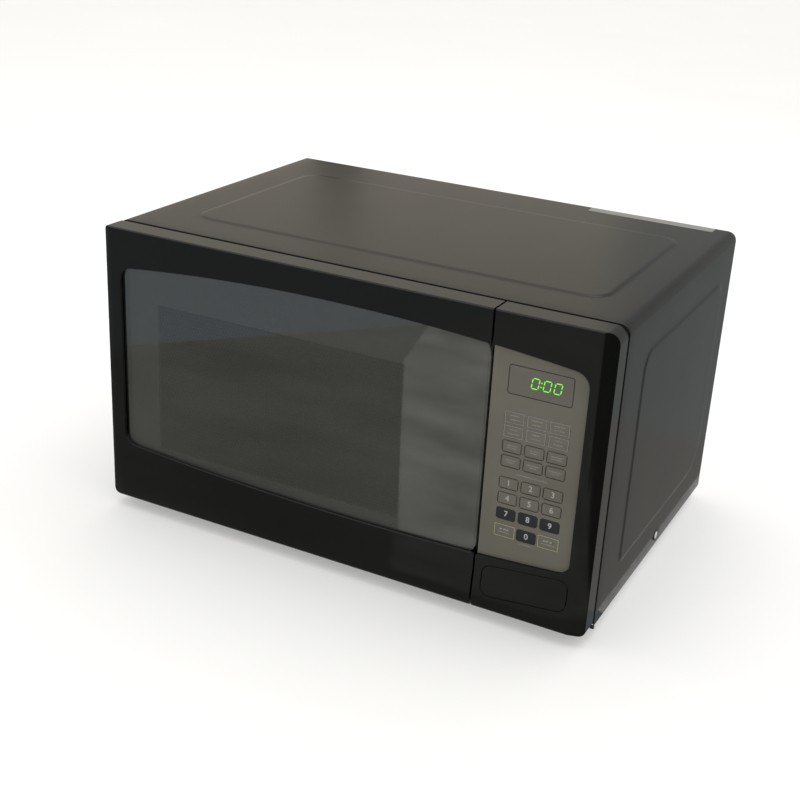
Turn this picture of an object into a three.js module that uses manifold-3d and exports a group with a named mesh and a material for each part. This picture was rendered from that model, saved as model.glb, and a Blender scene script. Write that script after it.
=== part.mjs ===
// Countertop microwave oven with a side-hinged mirror-glass door, a membrane keypad and a push-button
// door release. Millimetres, +Z up, the front faces -Y, and the origin lies on the worktop under the
// middle of the oven. The oven stands closed; moving pieces are drawn at their rest positions.
import * as THREE from 'three';
import { mergeVertices } from 'three/addons/utils/BufferGeometryUtils.js';
import Module from 'manifold-3d';

const wasm = await Module();
wasm.setup();

// ---------------------------------------------------------------------------------------------------
// Driving dimensions
// ---------------------------------------------------------------------------------------------------
const width = 452;
const depth = 325;
const footHeight = 12;
const cabinetHeight = 249;
const cabinetDepth = 290;
const cabinetTopRadius = 8.5;
const sheet = 0.8;
const gap = 0.3;

const frameThickness = 21.9; // door and fascia, in front of the cabinet's front edge
const lowerLip = 2.5; // how far their lower edge swells forward of the flat front
const glassRecess = 3.1;
const seam = 1.4; // between the door or fascia and the cabinet
const wall = 2.5; // moulded plastic walls
const frontInset = 1.4; // the front is this much narrower than the cabinet, each side
const frontTopDrop = 2.9;
const frontBottomDrop = 0.9;

const doorGapCentre = 130.1;
const doorGap = 1.6;

const cavity = { left: -211, right: 97, floor: 33, ceiling: 231 };
const hingeX = -218.6;
const hingeSetback = 7.5; // hinge axis, in front of the cabinet's front edge
const hingePinRadius = 2.2;

const trayRadius = 127.5;
const rollerRadius = 7.5;
const rollerOrbit = 93;
const ringHeight = 5;

const panelCentre = 169.5; // middle of the keypad columns and of the display
const keyPitch = 17.9;
const keyWidth = 15.6;
const keyHeight = 9.6;
const keyRadius = 1.2;
const keyThickness = 0.8;
const keyGap = 0.25;
const largeKey = { width: 17, height: 10.6 };
const keyRows = {
  quick: [176.3, 164.9],
  programme: [152.7, 140.7],
  digits: [122.5, 109.7, 96.5, 82.0],
};
const display = { centreZ: 206.4, width: 51.2, height: 23.3 };

const buttonTravel = 5; // the hooks rise by as much
const leverArm = 12; // both arms of the release lever, from its pivot

// ---------------------------------------------------------------------------------------------------
// Planes worked out from the driving dimensions
// ---------------------------------------------------------------------------------------------------
const cabinetFront = -depth / 2 + frameThickness + lowerLip;
const cabinetBack = cabinetFront + cabinetDepth;
const cabinetTop = footHeight + cabinetHeight;
const frameFront = cabinetFront - frameThickness;
const lipFront = frameFront - lowerLip;
const frameBack = cabinetFront - seam;
const glassFront = frameFront + glassRecess;
const frontHalf = width / 2 - frontInset;
const frontTop = cabinetTop - frontTopDrop;
const frontBottom = footHeight - frontBottomDrop;
const doorRight = doorGapCentre - doorGap / 2;
const fasciaLeft = doorGapCentre + doorGap / 2;
const cavityBack = depth / 2 - 4.5;
const hingeY = cabinetFront - hingeSetback;
const turntable = { x: (cavity.left + cavity.right) / 2, y: (cabinetFront + cavityBack) / 2 };
const sideInner = width / 2 - sheet;

// ---------------------------------------------------------------------------------------------------
// Solids
// ---------------------------------------------------------------------------------------------------
function solid(geometry) {
  const bare = geometry.clone();
  bare.deleteAttribute('normal');
  bare.deleteAttribute('uv');
  const merged = mergeVertices(bare, 1e-4);
  const corners = merged.index.array;
  const triVerts = [];
  for (let i = 0; i < corners.length; i += 3) {
    const [a, b, c] = [corners[i], corners[i + 1], corners[i + 2]];
    if (a !== b && b !== c && c !== a) triVerts.push(a, b, c);
  }
  const vertProperties = new Float32Array(merged.attributes.position.array);
  return new wasm.Manifold(
    new wasm.Mesh({ numProp: 3, vertProperties, triVerts: new Uint32Array(triVerts) }),
  );
}

function geometryOf(body) {
  const mesh = body.getMesh();
  const indexed = new THREE.BufferGeometry();
  indexed.setAttribute('position', new THREE.BufferAttribute(mesh.vertProperties, 3));
  indexed.setIndex(new THREE.BufferAttribute(mesh.triVerts, 1));
  const geometry = indexed.toNonIndexed();
  geometry.computeVertexNormals();
  return geometry;
}

function join(...bodies) {
  return bodies.reduce((whole, body) => whole.add(body));
}

function cut(body, ...tools) {
  return tools.reduce((left, tool) => left.subtract(tool), body);
}

function box([x0, x1], [y0, y1], [z0, z1]) {
  const geometry = new THREE.BoxGeometry(x1 - x0, y1 - y0, z1 - z0);
  geometry.translate((x0 + x1) / 2, (y0 + y1) / 2, (z0 + z1) / 2);
  return solid(geometry);
}

// The outline is drawn in the other two axes, in X, Y, Z order, and swept from one place to the other.
const sweeps = {
  x: new THREE.Matrix4().set(0, 0, 1, 0, 1, 0, 0, 0, 0, 1, 0, 0, 0, 0, 0, 1),
  y: new THREE.Matrix4().set(1, 0, 0, 0, 0, 0, -1, 0, 0, 1, 0, 0, 0, 0, 0, 1),
  z: new THREE.Matrix4(),
};

function sweep(outline, axis, [from, to]) {
  const geometry = new THREE.ExtrudeGeometry(new THREE.Shape(outline), {
    depth: to - from,
    bevelEnabled: false,
  });
  geometry.translate(0, 0, axis === 'y' ? -to : from);
  geometry.applyMatrix4(sweeps[axis]);
  return solid(geometry);
}

// A turned solid about an axis through the given centre. Profile points are [radius, place along axis],
// counter-clockwise with the radius to the right.
function turned(profile, axis, centre, segments) {
  const points = profile.map(([radius, along]) => new THREE.Vector2(radius, along));
  points.push(points[0].clone());
  const geometry = new THREE.LatheGeometry(points, segments);
  if (axis === 'z') geometry.rotateX(Math.PI / 2);
  if (axis === 'x') geometry.rotateZ(-Math.PI / 2);
  geometry.translate(...centre);
  return solid(geometry);
}

function disc(radius, axis, centre, [from, to], segments = 18) {
  const profile = [[0, from], [radius, from], [radius, to], [0, to]];
  return turned(profile, axis, centre, segments);
}

// ---------------------------------------------------------------------------------------------------
// Outlines
// ---------------------------------------------------------------------------------------------------
function arc(x, y, radius, start, end, steps) {
  const points = [];
  for (let i = 0; i <= steps; i += 1) {
    const angle = start + ((end - start) * i) / steps;
    points.push(new THREE.Vector2(x + radius * Math.cos(angle), y + radius * Math.sin(angle)));
  }
  return points;
}

// Corner radii run counter-clockwise from the lower left one.
function roundedRectangle([x0, x1], [y0, y1], radii, steps = 4) {
  const [lowerLeft, lowerRight, upperRight, upperLeft] = Array.isArray(radii) ? radii : Array(4).fill(radii);
  const quarter = Math.PI / 2;
  return [
    ...arc(x0 + lowerLeft, y0 + lowerLeft, lowerLeft, 2 * quarter, 3 * quarter, steps),
    ...arc(x1 - lowerRight, y0 + lowerRight, lowerRight, 3 * quarter, 4 * quarter, steps),
    ...arc(x1 - upperRight, y1 - upperRight, upperRight, 0, quarter, steps),
    ...arc(x0 + upperLeft, y1 - upperLeft, upperLeft, quarter, 2 * quarter, steps),
  ];
}

// The mirror glass and the keypad together make one lens, bounded above and below by two wide arcs.
const lensTop = { x: -4, radius: 1771, crest: 235.9 };
const lensBottom = { x: 12, radius: 2620, crest: 54.0 };
const lensEnd = { left: -209.3, right: 206.9 };
const lensRadii = { topLeft: 11, bottomLeft: 9.5, topRight: 12, bottomRight: 9.5 };

function lensCorner(bound, side, edge, radius, grow) {
  const upper = bound === lensTop;
  const reach = bound.radius + grow - radius;
  const centreZ = upper ? bound.crest - bound.radius : bound.crest + bound.radius;
  const x = edge - side * radius;
  const rise = Math.sqrt(reach ** 2 - (x - bound.x) ** 2);
  const z = upper ? centreZ + rise : centreZ - rise;
  return { x, z, radius, boundAngle: Math.atan2(z - centreZ, x - bound.x) };
}

function lensOutline({ left, right, radii = {}, grow = 0, steps = 14 }) {
  const radius = (name) => (radii[name] ? radii[name] + grow : 0);
  const topLeft = lensCorner(lensTop, -1, left, radius('topLeft'), grow);
  const topRight = lensCorner(lensTop, 1, right, radius('topRight'), grow);
  const bottomLeft = lensCorner(lensBottom, -1, left, radius('bottomLeft'), grow);
  const bottomRight = lensCorner(lensBottom, 1, right, radius('bottomRight'), grow);
  const turn = 2 * Math.PI;
  const corner = (c, start, end) => (c.radius ? arc(c.x, c.z, c.radius, start, end, 5) : []);
  const points = [
    ...arc(lensBottom.x, lensBottom.crest + lensBottom.radius, lensBottom.radius + grow,
      bottomLeft.boundAngle, bottomRight.boundAngle, steps),
    ...corner(bottomRight, bottomRight.boundAngle, 0),
    ...corner(topRight, 0, topRight.boundAngle),
    ...arc(lensTop.x, lensTop.crest - lensTop.radius, lensTop.radius + grow,
      topRight.boundAngle, topLeft.boundAngle, steps),
    ...corner(topLeft, topLeft.boundAngle, Math.PI),
    ...corner(bottomLeft, Math.PI, turn + bottomLeft.boundAngle),
  ];
  return points.filter((point, i) => point.distanceTo(points[(i + 1) % points.length]) > 0.01);
}

// The outer outline of door and fascia together, seen from the front.
const frontRadii = { lowerLeft: 4.2, lowerRight: 5, upperRight: 9, upperLeft: 3.4 };

function frontOutline(inset) {
  const { lowerLeft, lowerRight, upperRight, upperLeft } = frontRadii;
  const radii = [lowerLeft, lowerRight, upperRight, upperLeft].map((radius) => Math.max(radius - inset, 0.5));
  const half = frontHalf - inset;
  return roundedRectangle([-half, half], [frontBottom + inset, frontTop - inset], radii, 5);
}

// The side view of door and fascia: flat, swelling into the lower lip.
function frontSection() {
  const path = new THREE.Path();
  path.moveTo(frameBack, frontBottom);
  path.lineTo(lipFront + 2.2, frontBottom);
  path.quadraticCurveTo(lipFront, frontBottom + 1, lipFront, frontBottom + 9);
  path.bezierCurveTo(lipFront, frontBottom + 19, frameFront, frontBottom + 26, frameFront, frontBottom + 37);
  path.lineTo(frameFront, frontTop - 1);
  path.lineTo(frameFront + 1, frontTop);
  path.lineTo(frameBack, frontTop);
  return path.getPoints(6);
}

// The view from above: bevelled ends, and the hinge side rounded about the hinge axis.
function frontPlan() {
  const bevelSlope = 0.305;
  const leftBevelFoot = 2;
  const rightBevelFoot = 3.6;
  const front = lipFront - 1;
  const leftFoot = frameFront + leftBevelFoot;
  const rightFoot = frameFront + rightBevelFoot;
  const hingeRound = arc(hingeX, hingeY, frontHalf + hingeX, Math.PI, Math.PI / 2, 6);
  return [
    new THREE.Vector2(-frontHalf, leftFoot),
    new THREE.Vector2(-frontHalf + (leftFoot - front) / bevelSlope, front),
    new THREE.Vector2(frontHalf - (rightFoot - front) / bevelSlope, front),
    new THREE.Vector2(frontHalf, rightFoot),
    new THREE.Vector2(frontHalf, frameBack),
    ...hingeRound.reverse(),
  ];
}

const span = 2 * width; // longer than any piece, for tools that cut right through
const frontBlank = sweep(frontSection(), 'x', [-span, span])
  .intersect(sweep(frontOutline(0), 'y', [lipFront - 2, cabinetFront]))
  .intersect(sweep(frontPlan(), 'z', [0, span]));

// ---------------------------------------------------------------------------------------------------
// Cabinet, base, rear panel and feet
// ---------------------------------------------------------------------------------------------------
const cableEntry = { x: 200, z: 112, radius: 7.3 };
const rearBulge = { left: -216, right: 102, bottom: 28, top: 236, radius: 8 };
const basePan = { setback: 4.1, rim: 10, stemHole: 4 };
const footShape = { sole: 9, rim: 10.5, shoulder: 13, stem: 3.7, barb: 4.8, tip: 3, stemRise: 4 };
const glandShape = {
  bore: 3.6, nut: 9.5, nutLength: 5, flange: 10.5, flangeLength: 2.5, nose: 6.2, length: 8,
};
const footPlaces = [-1, 1].flatMap((end) => [-1, 1].map((side) => [
  side * 180, end < 0 ? cabinetFront + 42 : cabinetBack - 40,
]));

// Grids of ventilation slots, each in X, Y, Z order. A slot is longer than its wall is thick.
const baseVents = { corner: [116, -40, 0], size: [5, 28, 30], counts: [6, 2, 1], pitch: [14, 36, 0] };
const fanVents = {
  corner: [116, cabinetBack - 2, 148], size: [4, 4, 36], counts: [10, 1, 2], pitch: [10, 0, 42],
};
const lowVents = {
  corner: [116, cabinetBack - 2, 36], size: [4, 4, 36], counts: [8, 1, 1], pitch: [10, 0, 0],
};
const exhaustVents = {
  corner: [cavity.left - 2, 90, 190], size: [4, 2.5, 22], counts: [1, 8, 1], pitch: [0, 6, 0],
};
const lampVents = {
  corner: [cavity.right - 2, -82, 196], size: [4, 2.5, 22], counts: [1, 6, 1], pitch: [0, 6, 0],
};

function slotGrid({ corner, size, counts, pitch }) {
  const slots = [];
  for (let i = 0; i < counts[0]; i += 1) {
    for (let j = 0; j < counts[1]; j += 1) {
      for (let k = 0; k < counts[2]; k += 1) {
        const low = [i, j, k].map((step, axis) => corner[axis] + step * pitch[axis]);
        slots.push(box(...low.map((place, axis) => [place, place + size[axis]])));
      }
    }
  }
  return join(...slots);
}

function cabinetCover() {
  const outline = (inset) => roundedRectangle(
    [-width / 2 + inset, width / 2 - inset],
    [footHeight - (inset ? 1 : 0), cabinetTop - inset],
    [0, 0, cabinetTopRadius - inset, cabinetTopRadius - inset], 6,
  );
  const length = [cabinetFront, cabinetBack];
  return cut(sweep(outline(0), 'y', length), sweep(outline(sheet), 'y', [-span, span]));
}

function basePlate() {
  const inner = sideInner - gap;
  const x = [-inner, inner];
  const y = [cabinetFront + basePan.setback, cabinetBack - sheet - gap];
  const pan = box(x, y, [footHeight, footHeight + basePan.rim]);
  const hollow = box(
    [x[0] + sheet, x[1] - sheet], [y[0] + sheet, y[1] - sheet], [footHeight + sheet, span],
  );
  const stemHoles = footPlaces.map(([fx, fy]) => disc(basePan.stemHole, 'z', [fx, fy, 0], [0, span], 12));
  return cut(pan, hollow, ...stemHoles, slotGrid(baseVents));
}

// The panel swells backwards over the cavity's rear wall.
function rearPanel() {
  const inner = sideInner - gap;
  const top = cabinetTop - sheet - gap;
  const bottom = footHeight + sheet + gap;
  const corner = cabinetTopRadius - sheet - gap;
  const plate = sweep(
    roundedRectangle([-inner, inner], [bottom, top], [0, 0, corner, corner]),
    'y', [cabinetBack - sheet, cabinetBack],
  );
  const bulge = (inset) => roundedRectangle(
    [rearBulge.left + inset, rearBulge.right - inset], [rearBulge.bottom + inset, rearBulge.top - inset],
    rearBulge.radius - inset,
  );
  const shell = join(plate, sweep(bulge(0), 'y', [cabinetBack - sheet, depth / 2]));
  const hollow = sweep(bulge(sheet), 'y', [0, depth / 2 - sheet]);
  const entry = disc(cableEntry.radius, 'y', [cableEntry.x, 0, cableEntry.z], [0, span]);
  return cut(shell, hollow, slotGrid(fanVents), slotGrid(lowVents), entry);
}

// A turned foot whose stem snaps through a hole in the base plate.
function foot() {
  const { sole, rim, shoulder, stem: shaft, barb, tip, stemRise } = footShape;
  const top = footHeight - gap;
  const plateTop = footHeight + sheet;
  const barbLow = plateTop + gap;
  return turned([
    [0, 0], [sole, 0], [rim, 1], [shoulder, top], [shaft, top], [shaft, barbLow],
    [barb, barbLow + 0.4], [tip, plateTop + stemRise], [0, plateTop + stemRise],
  ], 'z', [0, 0, 0], 16);
}

// A flanged bush that lines the cable entry.
function cordGland() {
  const { bore, nut, nutLength, flange, flangeLength, nose, length } = glandShape;
  const neck = cableEntry.radius - gap;
  const inside = cabinetBack - sheet - gap;
  const outside = cabinetBack + gap;
  return turned([
    [bore, inside - nutLength], [nut, inside - nutLength], [nut, inside], [neck, inside],
    [neck, outside], [flange, outside], [flange, outside + flangeLength], [nose, outside + length],
    [bore, outside + length],
  ], 'y', [cableEntry.x, 0, cableEntry.z], 18);
}

// ---------------------------------------------------------------------------------------------------
// Oven cavity with its front plate and waveguide, welded into one piece
// ---------------------------------------------------------------------------------------------------
const hooks = { left: 109.5, right: 114.5, barbStart: 18, tip: 24, height: 9, barb: 4, bottoms: [66, 206] };
const hookWindows = hooks.bottoms.map((z) => [z - hooks.barb - 0.4, z + hooks.height + buttonTravel + 2]);
const hingeArm = { left: hingeX - 3.2, right: hingeX + 3.2, thickness: 2, levels: [20, 249.5] };
const hookSlot = [106, 121]; // width of the windows that the hooks pass through
const frontPlate = { x: [-222.5, doorRight - gap], z: [15, 257.5], radii: [1, 1, 1, 11] };
const waveguide = { right: 135, y: [-30, 95], z: [140, 195], mouthY: [-22, 52], mouthZ: [148, 187] };
const antenna = { y: 58, z: 167.5, radius: 8, hole: 16 };
const couplerShaft = 3.5;

function ovenCavity() {
  const { left, right, floor, ceiling } = cavity;
  const plateDepth = [cabinetFront, cabinetFront + sheet];
  const throughPlate = [cabinetFront - 1, cabinetFront + sheet + 1];
  const outer = box(
    [left - sheet, right + sheet], [cabinetFront, cavityBack + sheet], [floor - sheet, ceiling + sheet],
  );
  const plate = sweep(roundedRectangle(frontPlate.x, frontPlate.z, frontPlate.radii), 'y', plateDepth);
  const inside = box([left, right], [throughPlate[0], cavityBack], [floor, ceiling]);
  const tub = cut(join(outer, plate), inside);

  const inward = ([low, high]) => [low + sheet, high - sheet];
  const duct = box([right, waveguide.right], waveguide.y, waveguide.z);
  const ductInside = box([right - 1, waveguide.right - sheet], inward(waveguide.y), inward(waveguide.z));
  const ductWall = box([right, right + sheet], waveguide.y, waveguide.z);
  const mouth = box([right - 1, right + sheet + 1], waveguide.mouthY, waveguide.mouthZ);
  const antennaHole = disc(
    antenna.hole, 'x', [0, antenna.y, antenna.z], [waveguide.right - sheet - 1, waveguide.right + 1], 20,
  );

  const armRoom = hingeArm.levels.map((z) => box(
    [-span, hingeArm.right + sheet], throughPlate, [z - 2 * gap, z + hingeArm.thickness + 2 * gap],
  ));
  const hookSlots = hookWindows.map((z) => box(hookSlot, throughPlate, z));
  const shaftHole = disc(couplerShaft + 2, 'z', [turntable.x, turntable.y, 0], [0, floor + 1], 20);
  return cut(
    join(tub, cut(duct, ductInside), ductWall), mouth, antennaHole, ...armRoom, ...hookSlots,
    slotGrid(exhaustVents), slotGrid(lampVents), shaftHole,
  );
}

// A thin board clipped inside the cavity, in front of the waveguide's mouth.
function waveguideCover() {
  const thickness = 0.4;
  const x = [cavity.right - gap - thickness, cavity.right - gap];
  return sweep(roundedRectangle([waveguide.y[0], 60], waveguide.z, 3, 2), 'x', x);
}

// ---------------------------------------------------------------------------------------------------
// High-voltage and cooling pieces in the right-hand compartment
// ---------------------------------------------------------------------------------------------------
const magnetronShape = {
  flange: { thickness: 1.6, halfY: 45, halfZ: 38 },
  yoke: { length: 50, halfY: 40, halfZ: 38, plate: 4 },
  anode: 20,
  magnet: { radius: 27, length: 7 },
  fins: { count: 5, first: 12, pitch: 7, thickness: 1, halfY: 38, halfZ: 34 },
  filterBox: { length: 22, half: 28 },
  antennaLength: 24,
};

function magnetron() {
  const { flange, yoke, anode, magnet, fins, filterBox, antennaLength } = magnetronShape;
  const start = waveguide.right + gap;
  const yokeStart = start + flange.thickness;
  const yokeEnd = start + yoke.length;
  const end = yokeEnd + 2;
  const { y, z } = antenna;
  const slab = (x, halfY, halfZ) => box(x, [y - halfY, y + halfY], [z - halfZ, z + halfZ]);
  const about = (radius, x, segments) => disc(radius, 'x', [0, y, z], x, segments);
  const yokeWalls = [-1, 1].map((side) => {
    const walls = [side * yoke.halfZ, side * (yoke.halfZ - yoke.plate)].sort((a, b) => a - b);
    return box([yokeStart, yokeEnd], [y - yoke.halfY, y + yoke.halfY], walls.map((wallZ) => z + wallZ));
  });
  const finPlates = [];
  for (let i = 0; i < fins.count; i += 1) {
    const x = start + fins.first + i * fins.pitch;
    finPlates.push(slab([x, x + fins.thickness], fins.halfY, fins.halfZ));
  }
  return join(
    slab([start, yokeStart], flange.halfY, flange.halfZ), ...yokeWalls,
    slab([yokeEnd, end], yoke.halfY, yoke.halfZ), about(anode, [start + 1, end - 1]),
    about(magnet.radius, [start + 1, yokeStart + magnet.length]),
    about(magnet.radius, [yokeEnd - magnet.length, end - 1]), ...finPlates,
    slab([end - 1, end + filterBox.length], filterBox.half, filterBox.half),
    about(antenna.radius, [start - antennaLength, start + 1], 16),
  );
}

const chassisTop = footHeight + sheet + gap;
const core = { x: [112, 204], y: [-45, 15], bottom: chassisTop + 2, height: 76, window: 15 };
const winding = { x: [129, 187], y: [-62, 32], radius: 9, height: 20, levels: [18.5, 41.5] };

function transformer() {
  const laminations = box(core.x, core.y, [core.bottom, core.bottom + core.height]);
  const windowZ = [core.bottom + 16, core.bottom + core.height - 16];
  const windows = [winding.x[0], winding.x[1] - core.window].map(
    (x) => box([x, x + core.window], [-span, span], windowZ),
  );
  const flange = box(
    [core.x[0] - 6, core.x[1] + 6], [core.y[0] + 2, core.y[1] - 2], [chassisTop, core.bottom + 0.5],
  );
  const coils = winding.levels.map((level) => sweep(
    roundedRectangle(winding.x, winding.y, winding.radius, 3),
    'z', [chassisTop + level, chassisTop + level + winding.height],
  ));
  return join(flange, cut(laminations, ...windows), ...coils);
}

const can = { x: [112, 160], y: [44, 132], height: 31 };
const terminal = { half: 3, length: 8, inset: 14 };

function capacitor() {
  const middle = chassisTop + can.height / 2;
  const body = sweep(
    roundedRectangle(can.x, [chassisTop, chassisTop + can.height], can.height / 2 - 0.1, 6), 'y', can.y,
  );
  const tabs = [can.x[0] + terminal.inset, can.x[1] - terminal.inset].map((x) => box(
    [x - terminal.half, x + terminal.half], [can.y[0] - terminal.length, can.y[0] + 1],
    [middle - 0.5, middle + 0.5],
  ));
  return join(body, ...tabs);
}

const fan = { x: 162, z: 186, radius: 52, hub: 13, blades: 7, pitch: 0.5, y: [110, 126] };
const shroud = { x: [106, 218], z: [130, 242], y: [118, 120.5], ringFront: 108, clearance: 3, wall: 2 };
const fanMotor = { front: 131, depth: 14, halfX: 24, halfZ: 18, bearing: 12, shaft: 1.8 };
const motorArm = { length: 44, width: 7, thickness: 3, reach: 40, postReach: 58, post: 4 };

function fanShroud() {
  const about = (radius, y, segments) => disc(radius, 'y', [fan.x, 0, fan.z], y, segments);
  const opening = about(fan.radius + shroud.clearance, [0, span], 28);
  const rim = about(fan.radius + shroud.clearance + shroud.wall, [shroud.ringFront, shroud.y[1] - 0.5], 28);
  const armY = [fanMotor.front + 1, fanMotor.front + 1 + motorArm.thickness];
  const arm = (angle) => {
    const [ax, az] = [Math.cos(angle), Math.sin(angle)];
    const beam = new THREE.BoxGeometry(motorArm.length, motorArm.thickness, motorArm.width);
    beam.rotateY(-angle);
    beam.translate(fan.x + ax * motorArm.reach, (armY[0] + armY[1]) / 2, fan.z + az * motorArm.reach);
    const postPlace = [fan.x + ax * motorArm.postReach, 0, fan.z + az * motorArm.postReach];
    return join(solid(beam), disc(motorArm.post, 'y', postPlace, [shroud.y[0] + 1, armY[1]], 8));
  };
  const motor = join(
    box(
      [fan.x - fanMotor.halfX, fan.x + fanMotor.halfX], [fanMotor.front, fanMotor.front + fanMotor.depth],
      [fan.z - fanMotor.halfZ, fan.z + fanMotor.halfZ],
    ),
    about(fanMotor.bearing, [fanMotor.front - 3, fanMotor.front + fanMotor.depth + 3], 20),
    about(fanMotor.shaft, [fan.y[0] + 2, fanMotor.front], 12),
  );
  const arms = [0.25, 0.75, 1.25, 1.75].map((turn) => arm(turn * Math.PI));
  return join(cut(join(box(shroud.x, shroud.y, shroud.z), rim), opening), ...arms, motor);
}

// Drawn about its own axis; the assembly puts it in its place.
function fanImpeller() {
  const bore = fanMotor.shaft + gap;
  const hub = cut(
    disc(fan.hub, 'y', [0, 0, 0], fan.y, 24),
    disc(bore, 'y', [0, 0, 0], [fan.y[0] + 1.5, span], 12),
  );
  const blades = [];
  for (let i = 0; i < fan.blades; i += 1) {
    const blade = new THREE.BoxGeometry(fan.radius - fan.hub + 1, 1.6, 22, 3, 1, 1);
    blade.rotateX(fan.pitch);
    blade.translate((fan.radius + fan.hub - 1) / 2, (fan.y[0] + fan.y[1]) / 2 - 0.5, 0);
    blade.rotateY((2 * Math.PI * i) / fan.blades);
    blades.push(solid(blade));
  }
  return join(hub, ...blades);
}

const lamp = { y: -66, z: 208, bulb: 8.5, cap: 7, base: { half: [14, 12], offset: 22, thickness: 2 } };

// A bulb whose glass faces the cavity wall, on its cap and its mounting plate.
function ovenLamp() {
  const { y, z, bulb, cap, base } = lamp;
  const start = cavity.right + sheet + gap;
  return join(
    box(
      [start + base.offset, start + base.offset + base.thickness],
      [y - base.half[0], y + base.half[0]], [z - base.half[1], z + base.half[1]],
    ),
    disc(cap, 'x', [0, y, z], [start + 10, start + base.offset + 1], 16),
    turned(
      [[0, start + 2], [cap, start + 4], [bulb, start + 7], [cap - 1, start + 11], [0, start + 11]],
      'x', [0, y, z], 16,
    ),
  );
}

// ---------------------------------------------------------------------------------------------------
// Turntable
// ---------------------------------------------------------------------------------------------------
const couplerFoot = 28;
const driveMotor = { radius: 25, bottom: 15, neck: 7, ears: { half: 33, width: 10, thickness: 1.5 } };
const lobe = { length: 16, width: 7, height: 7 };

function turntableMotor() {
  const top = cavity.floor - sheet - gap;
  const canTop = top - 1.5;
  const { ears } = driveMotor;
  const body = disc(driveMotor.radius, 'z', [0, 0, 0], [driveMotor.bottom, canTop], 32);
  const neck = disc(driveMotor.neck, 'z', [0, 0, 0], [driveMotor.bottom, top], 20);
  const tabs = box(
    [-ears.half, ears.half], [-ears.width / 2, ears.width / 2], [canTop - ears.thickness, canTop],
  );
  const bore = disc(couplerShaft + gap, 'z', [0, 0, 0], [couplerFoot - gap, span], 20);
  return cut(join(body, neck, tabs), bore);
}

// The shaft that turns the tray, with three lobes that push the tray's lugs.
function turntableCoupler() {
  const top = cavity.floor + 12;
  const lobes = [];
  for (let i = 0; i < 3; i += 1) {
    const bar = new THREE.BoxGeometry(lobe.length, lobe.width, lobe.height);
    bar.translate(lobe.length / 2, 0, top + 1 - lobe.height / 2);
    bar.rotateZ((2 * Math.PI * i) / 3);
    lobes.push(solid(bar));
  }
  return join(
    disc(couplerShaft, 'z', [0, 0, 0], [couplerFoot, top - 4], 20),
    disc(9, 'z', [0, 0, 0], [cavity.floor + 1.2, top], 20),
    ...lobes,
  );
}

const axleHeight = cavity.floor + gap + rollerRadius;
const trayBottom = axleHeight + rollerRadius + gap;

const tray = {
  flatRadius: 104, rimHeight: 13.4, thickness: 5, lugRadius: 3, lugOrbit: 13.5, lugLength: 5,
};

function glassTray() {
  const low = trayBottom;
  const rim = low + tray.rimHeight;
  const dish = turned([
    [0, low], [tray.flatRadius, low], [121, low + 5], [trayRadius, rim - 0.8], [trayRadius - 1.4, rim],
    [trayRadius - 4.6, rim - 1], [118, low + 9], [tray.flatRadius - 1, low + tray.thickness],
    [0, low + tray.thickness],
  ], 'z', [0, 0, 0], 48);
  const lugs = [];
  for (let i = 0; i < 3; i += 1) {
    const angle = (2 * Math.PI * (i + 0.5)) / 3;
    const place = [tray.lugOrbit * Math.cos(angle), tray.lugOrbit * Math.sin(angle), 0];
    lugs.push(disc(tray.lugRadius, 'z', place, [low - tray.lugLength, low + 1], 12));
  }
  return join(dish, ...lugs);
}

const hoops = [{ inner: 82, outer: 88, segments: 36 }, { inner: 19, outer: 25, segments: 18 }];
const spoke = { from: 21, to: 83, width: 7 };
const axle = { radius: 2, from: 80, to: 98.4, stopRadius: 3.2, stopLength: 1.4 };

function rollerRing() {
  const z = [axleHeight - ringHeight / 2, axleHeight + ringHeight / 2];
  const rings = hoops.map(({ inner, outer, segments }) => cut(
    disc(outer, 'z', [0, 0, 0], z, segments),
    disc(inner, 'z', [0, 0, 0], [0, span], segments),
  ));
  const arms = [];
  for (let i = 0; i < 3; i += 1) {
    const bar = new THREE.BoxGeometry(spoke.to - spoke.from, spoke.width, ringHeight - 1);
    bar.translate((spoke.from + spoke.to) / 2, 0, axleHeight);
    const rod = disc(axle.radius, 'x', [0, 0, axleHeight], [axle.from, axle.to], 12);
    const stopX = [axle.to - 0.2, axle.to - 0.2 + axle.stopLength];
    const stop = disc(axle.stopRadius, 'x', [0, 0, axleHeight], stopX, 12);
    const arm = geometryOf(join(solid(bar), rod, stop));
    arm.rotateZ((2 * Math.PI * i) / 3);
    arms.push(solid(arm));
  }
  return join(...rings, ...arms);
}

// Drawn about its own axle; the assembly puts it in its place.
function roller() {
  const half = 4.4;
  const edge = 1;
  const bore = axle.radius + gap;
  return turned([
    [bore, -half], [rollerRadius - edge, -half], [rollerRadius, -half + edge], [rollerRadius, half - edge],
    [rollerRadius - edge, half], [bore, half],
  ], 'x', [0, 0, 0], 16);
}

// ---------------------------------------------------------------------------------------------------
// Door
// ---------------------------------------------------------------------------------------------------
const bossLevels = [[24, 35], [236, 247.5]]; // door bosses that turn on the lower and the upper hinge pin

const glassLip = 3.3; // how far the glass's groove runs under the frame
const glassThickness = 3;
const armSwing = 10; // radius swept by a hinge arm inside the door

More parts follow.
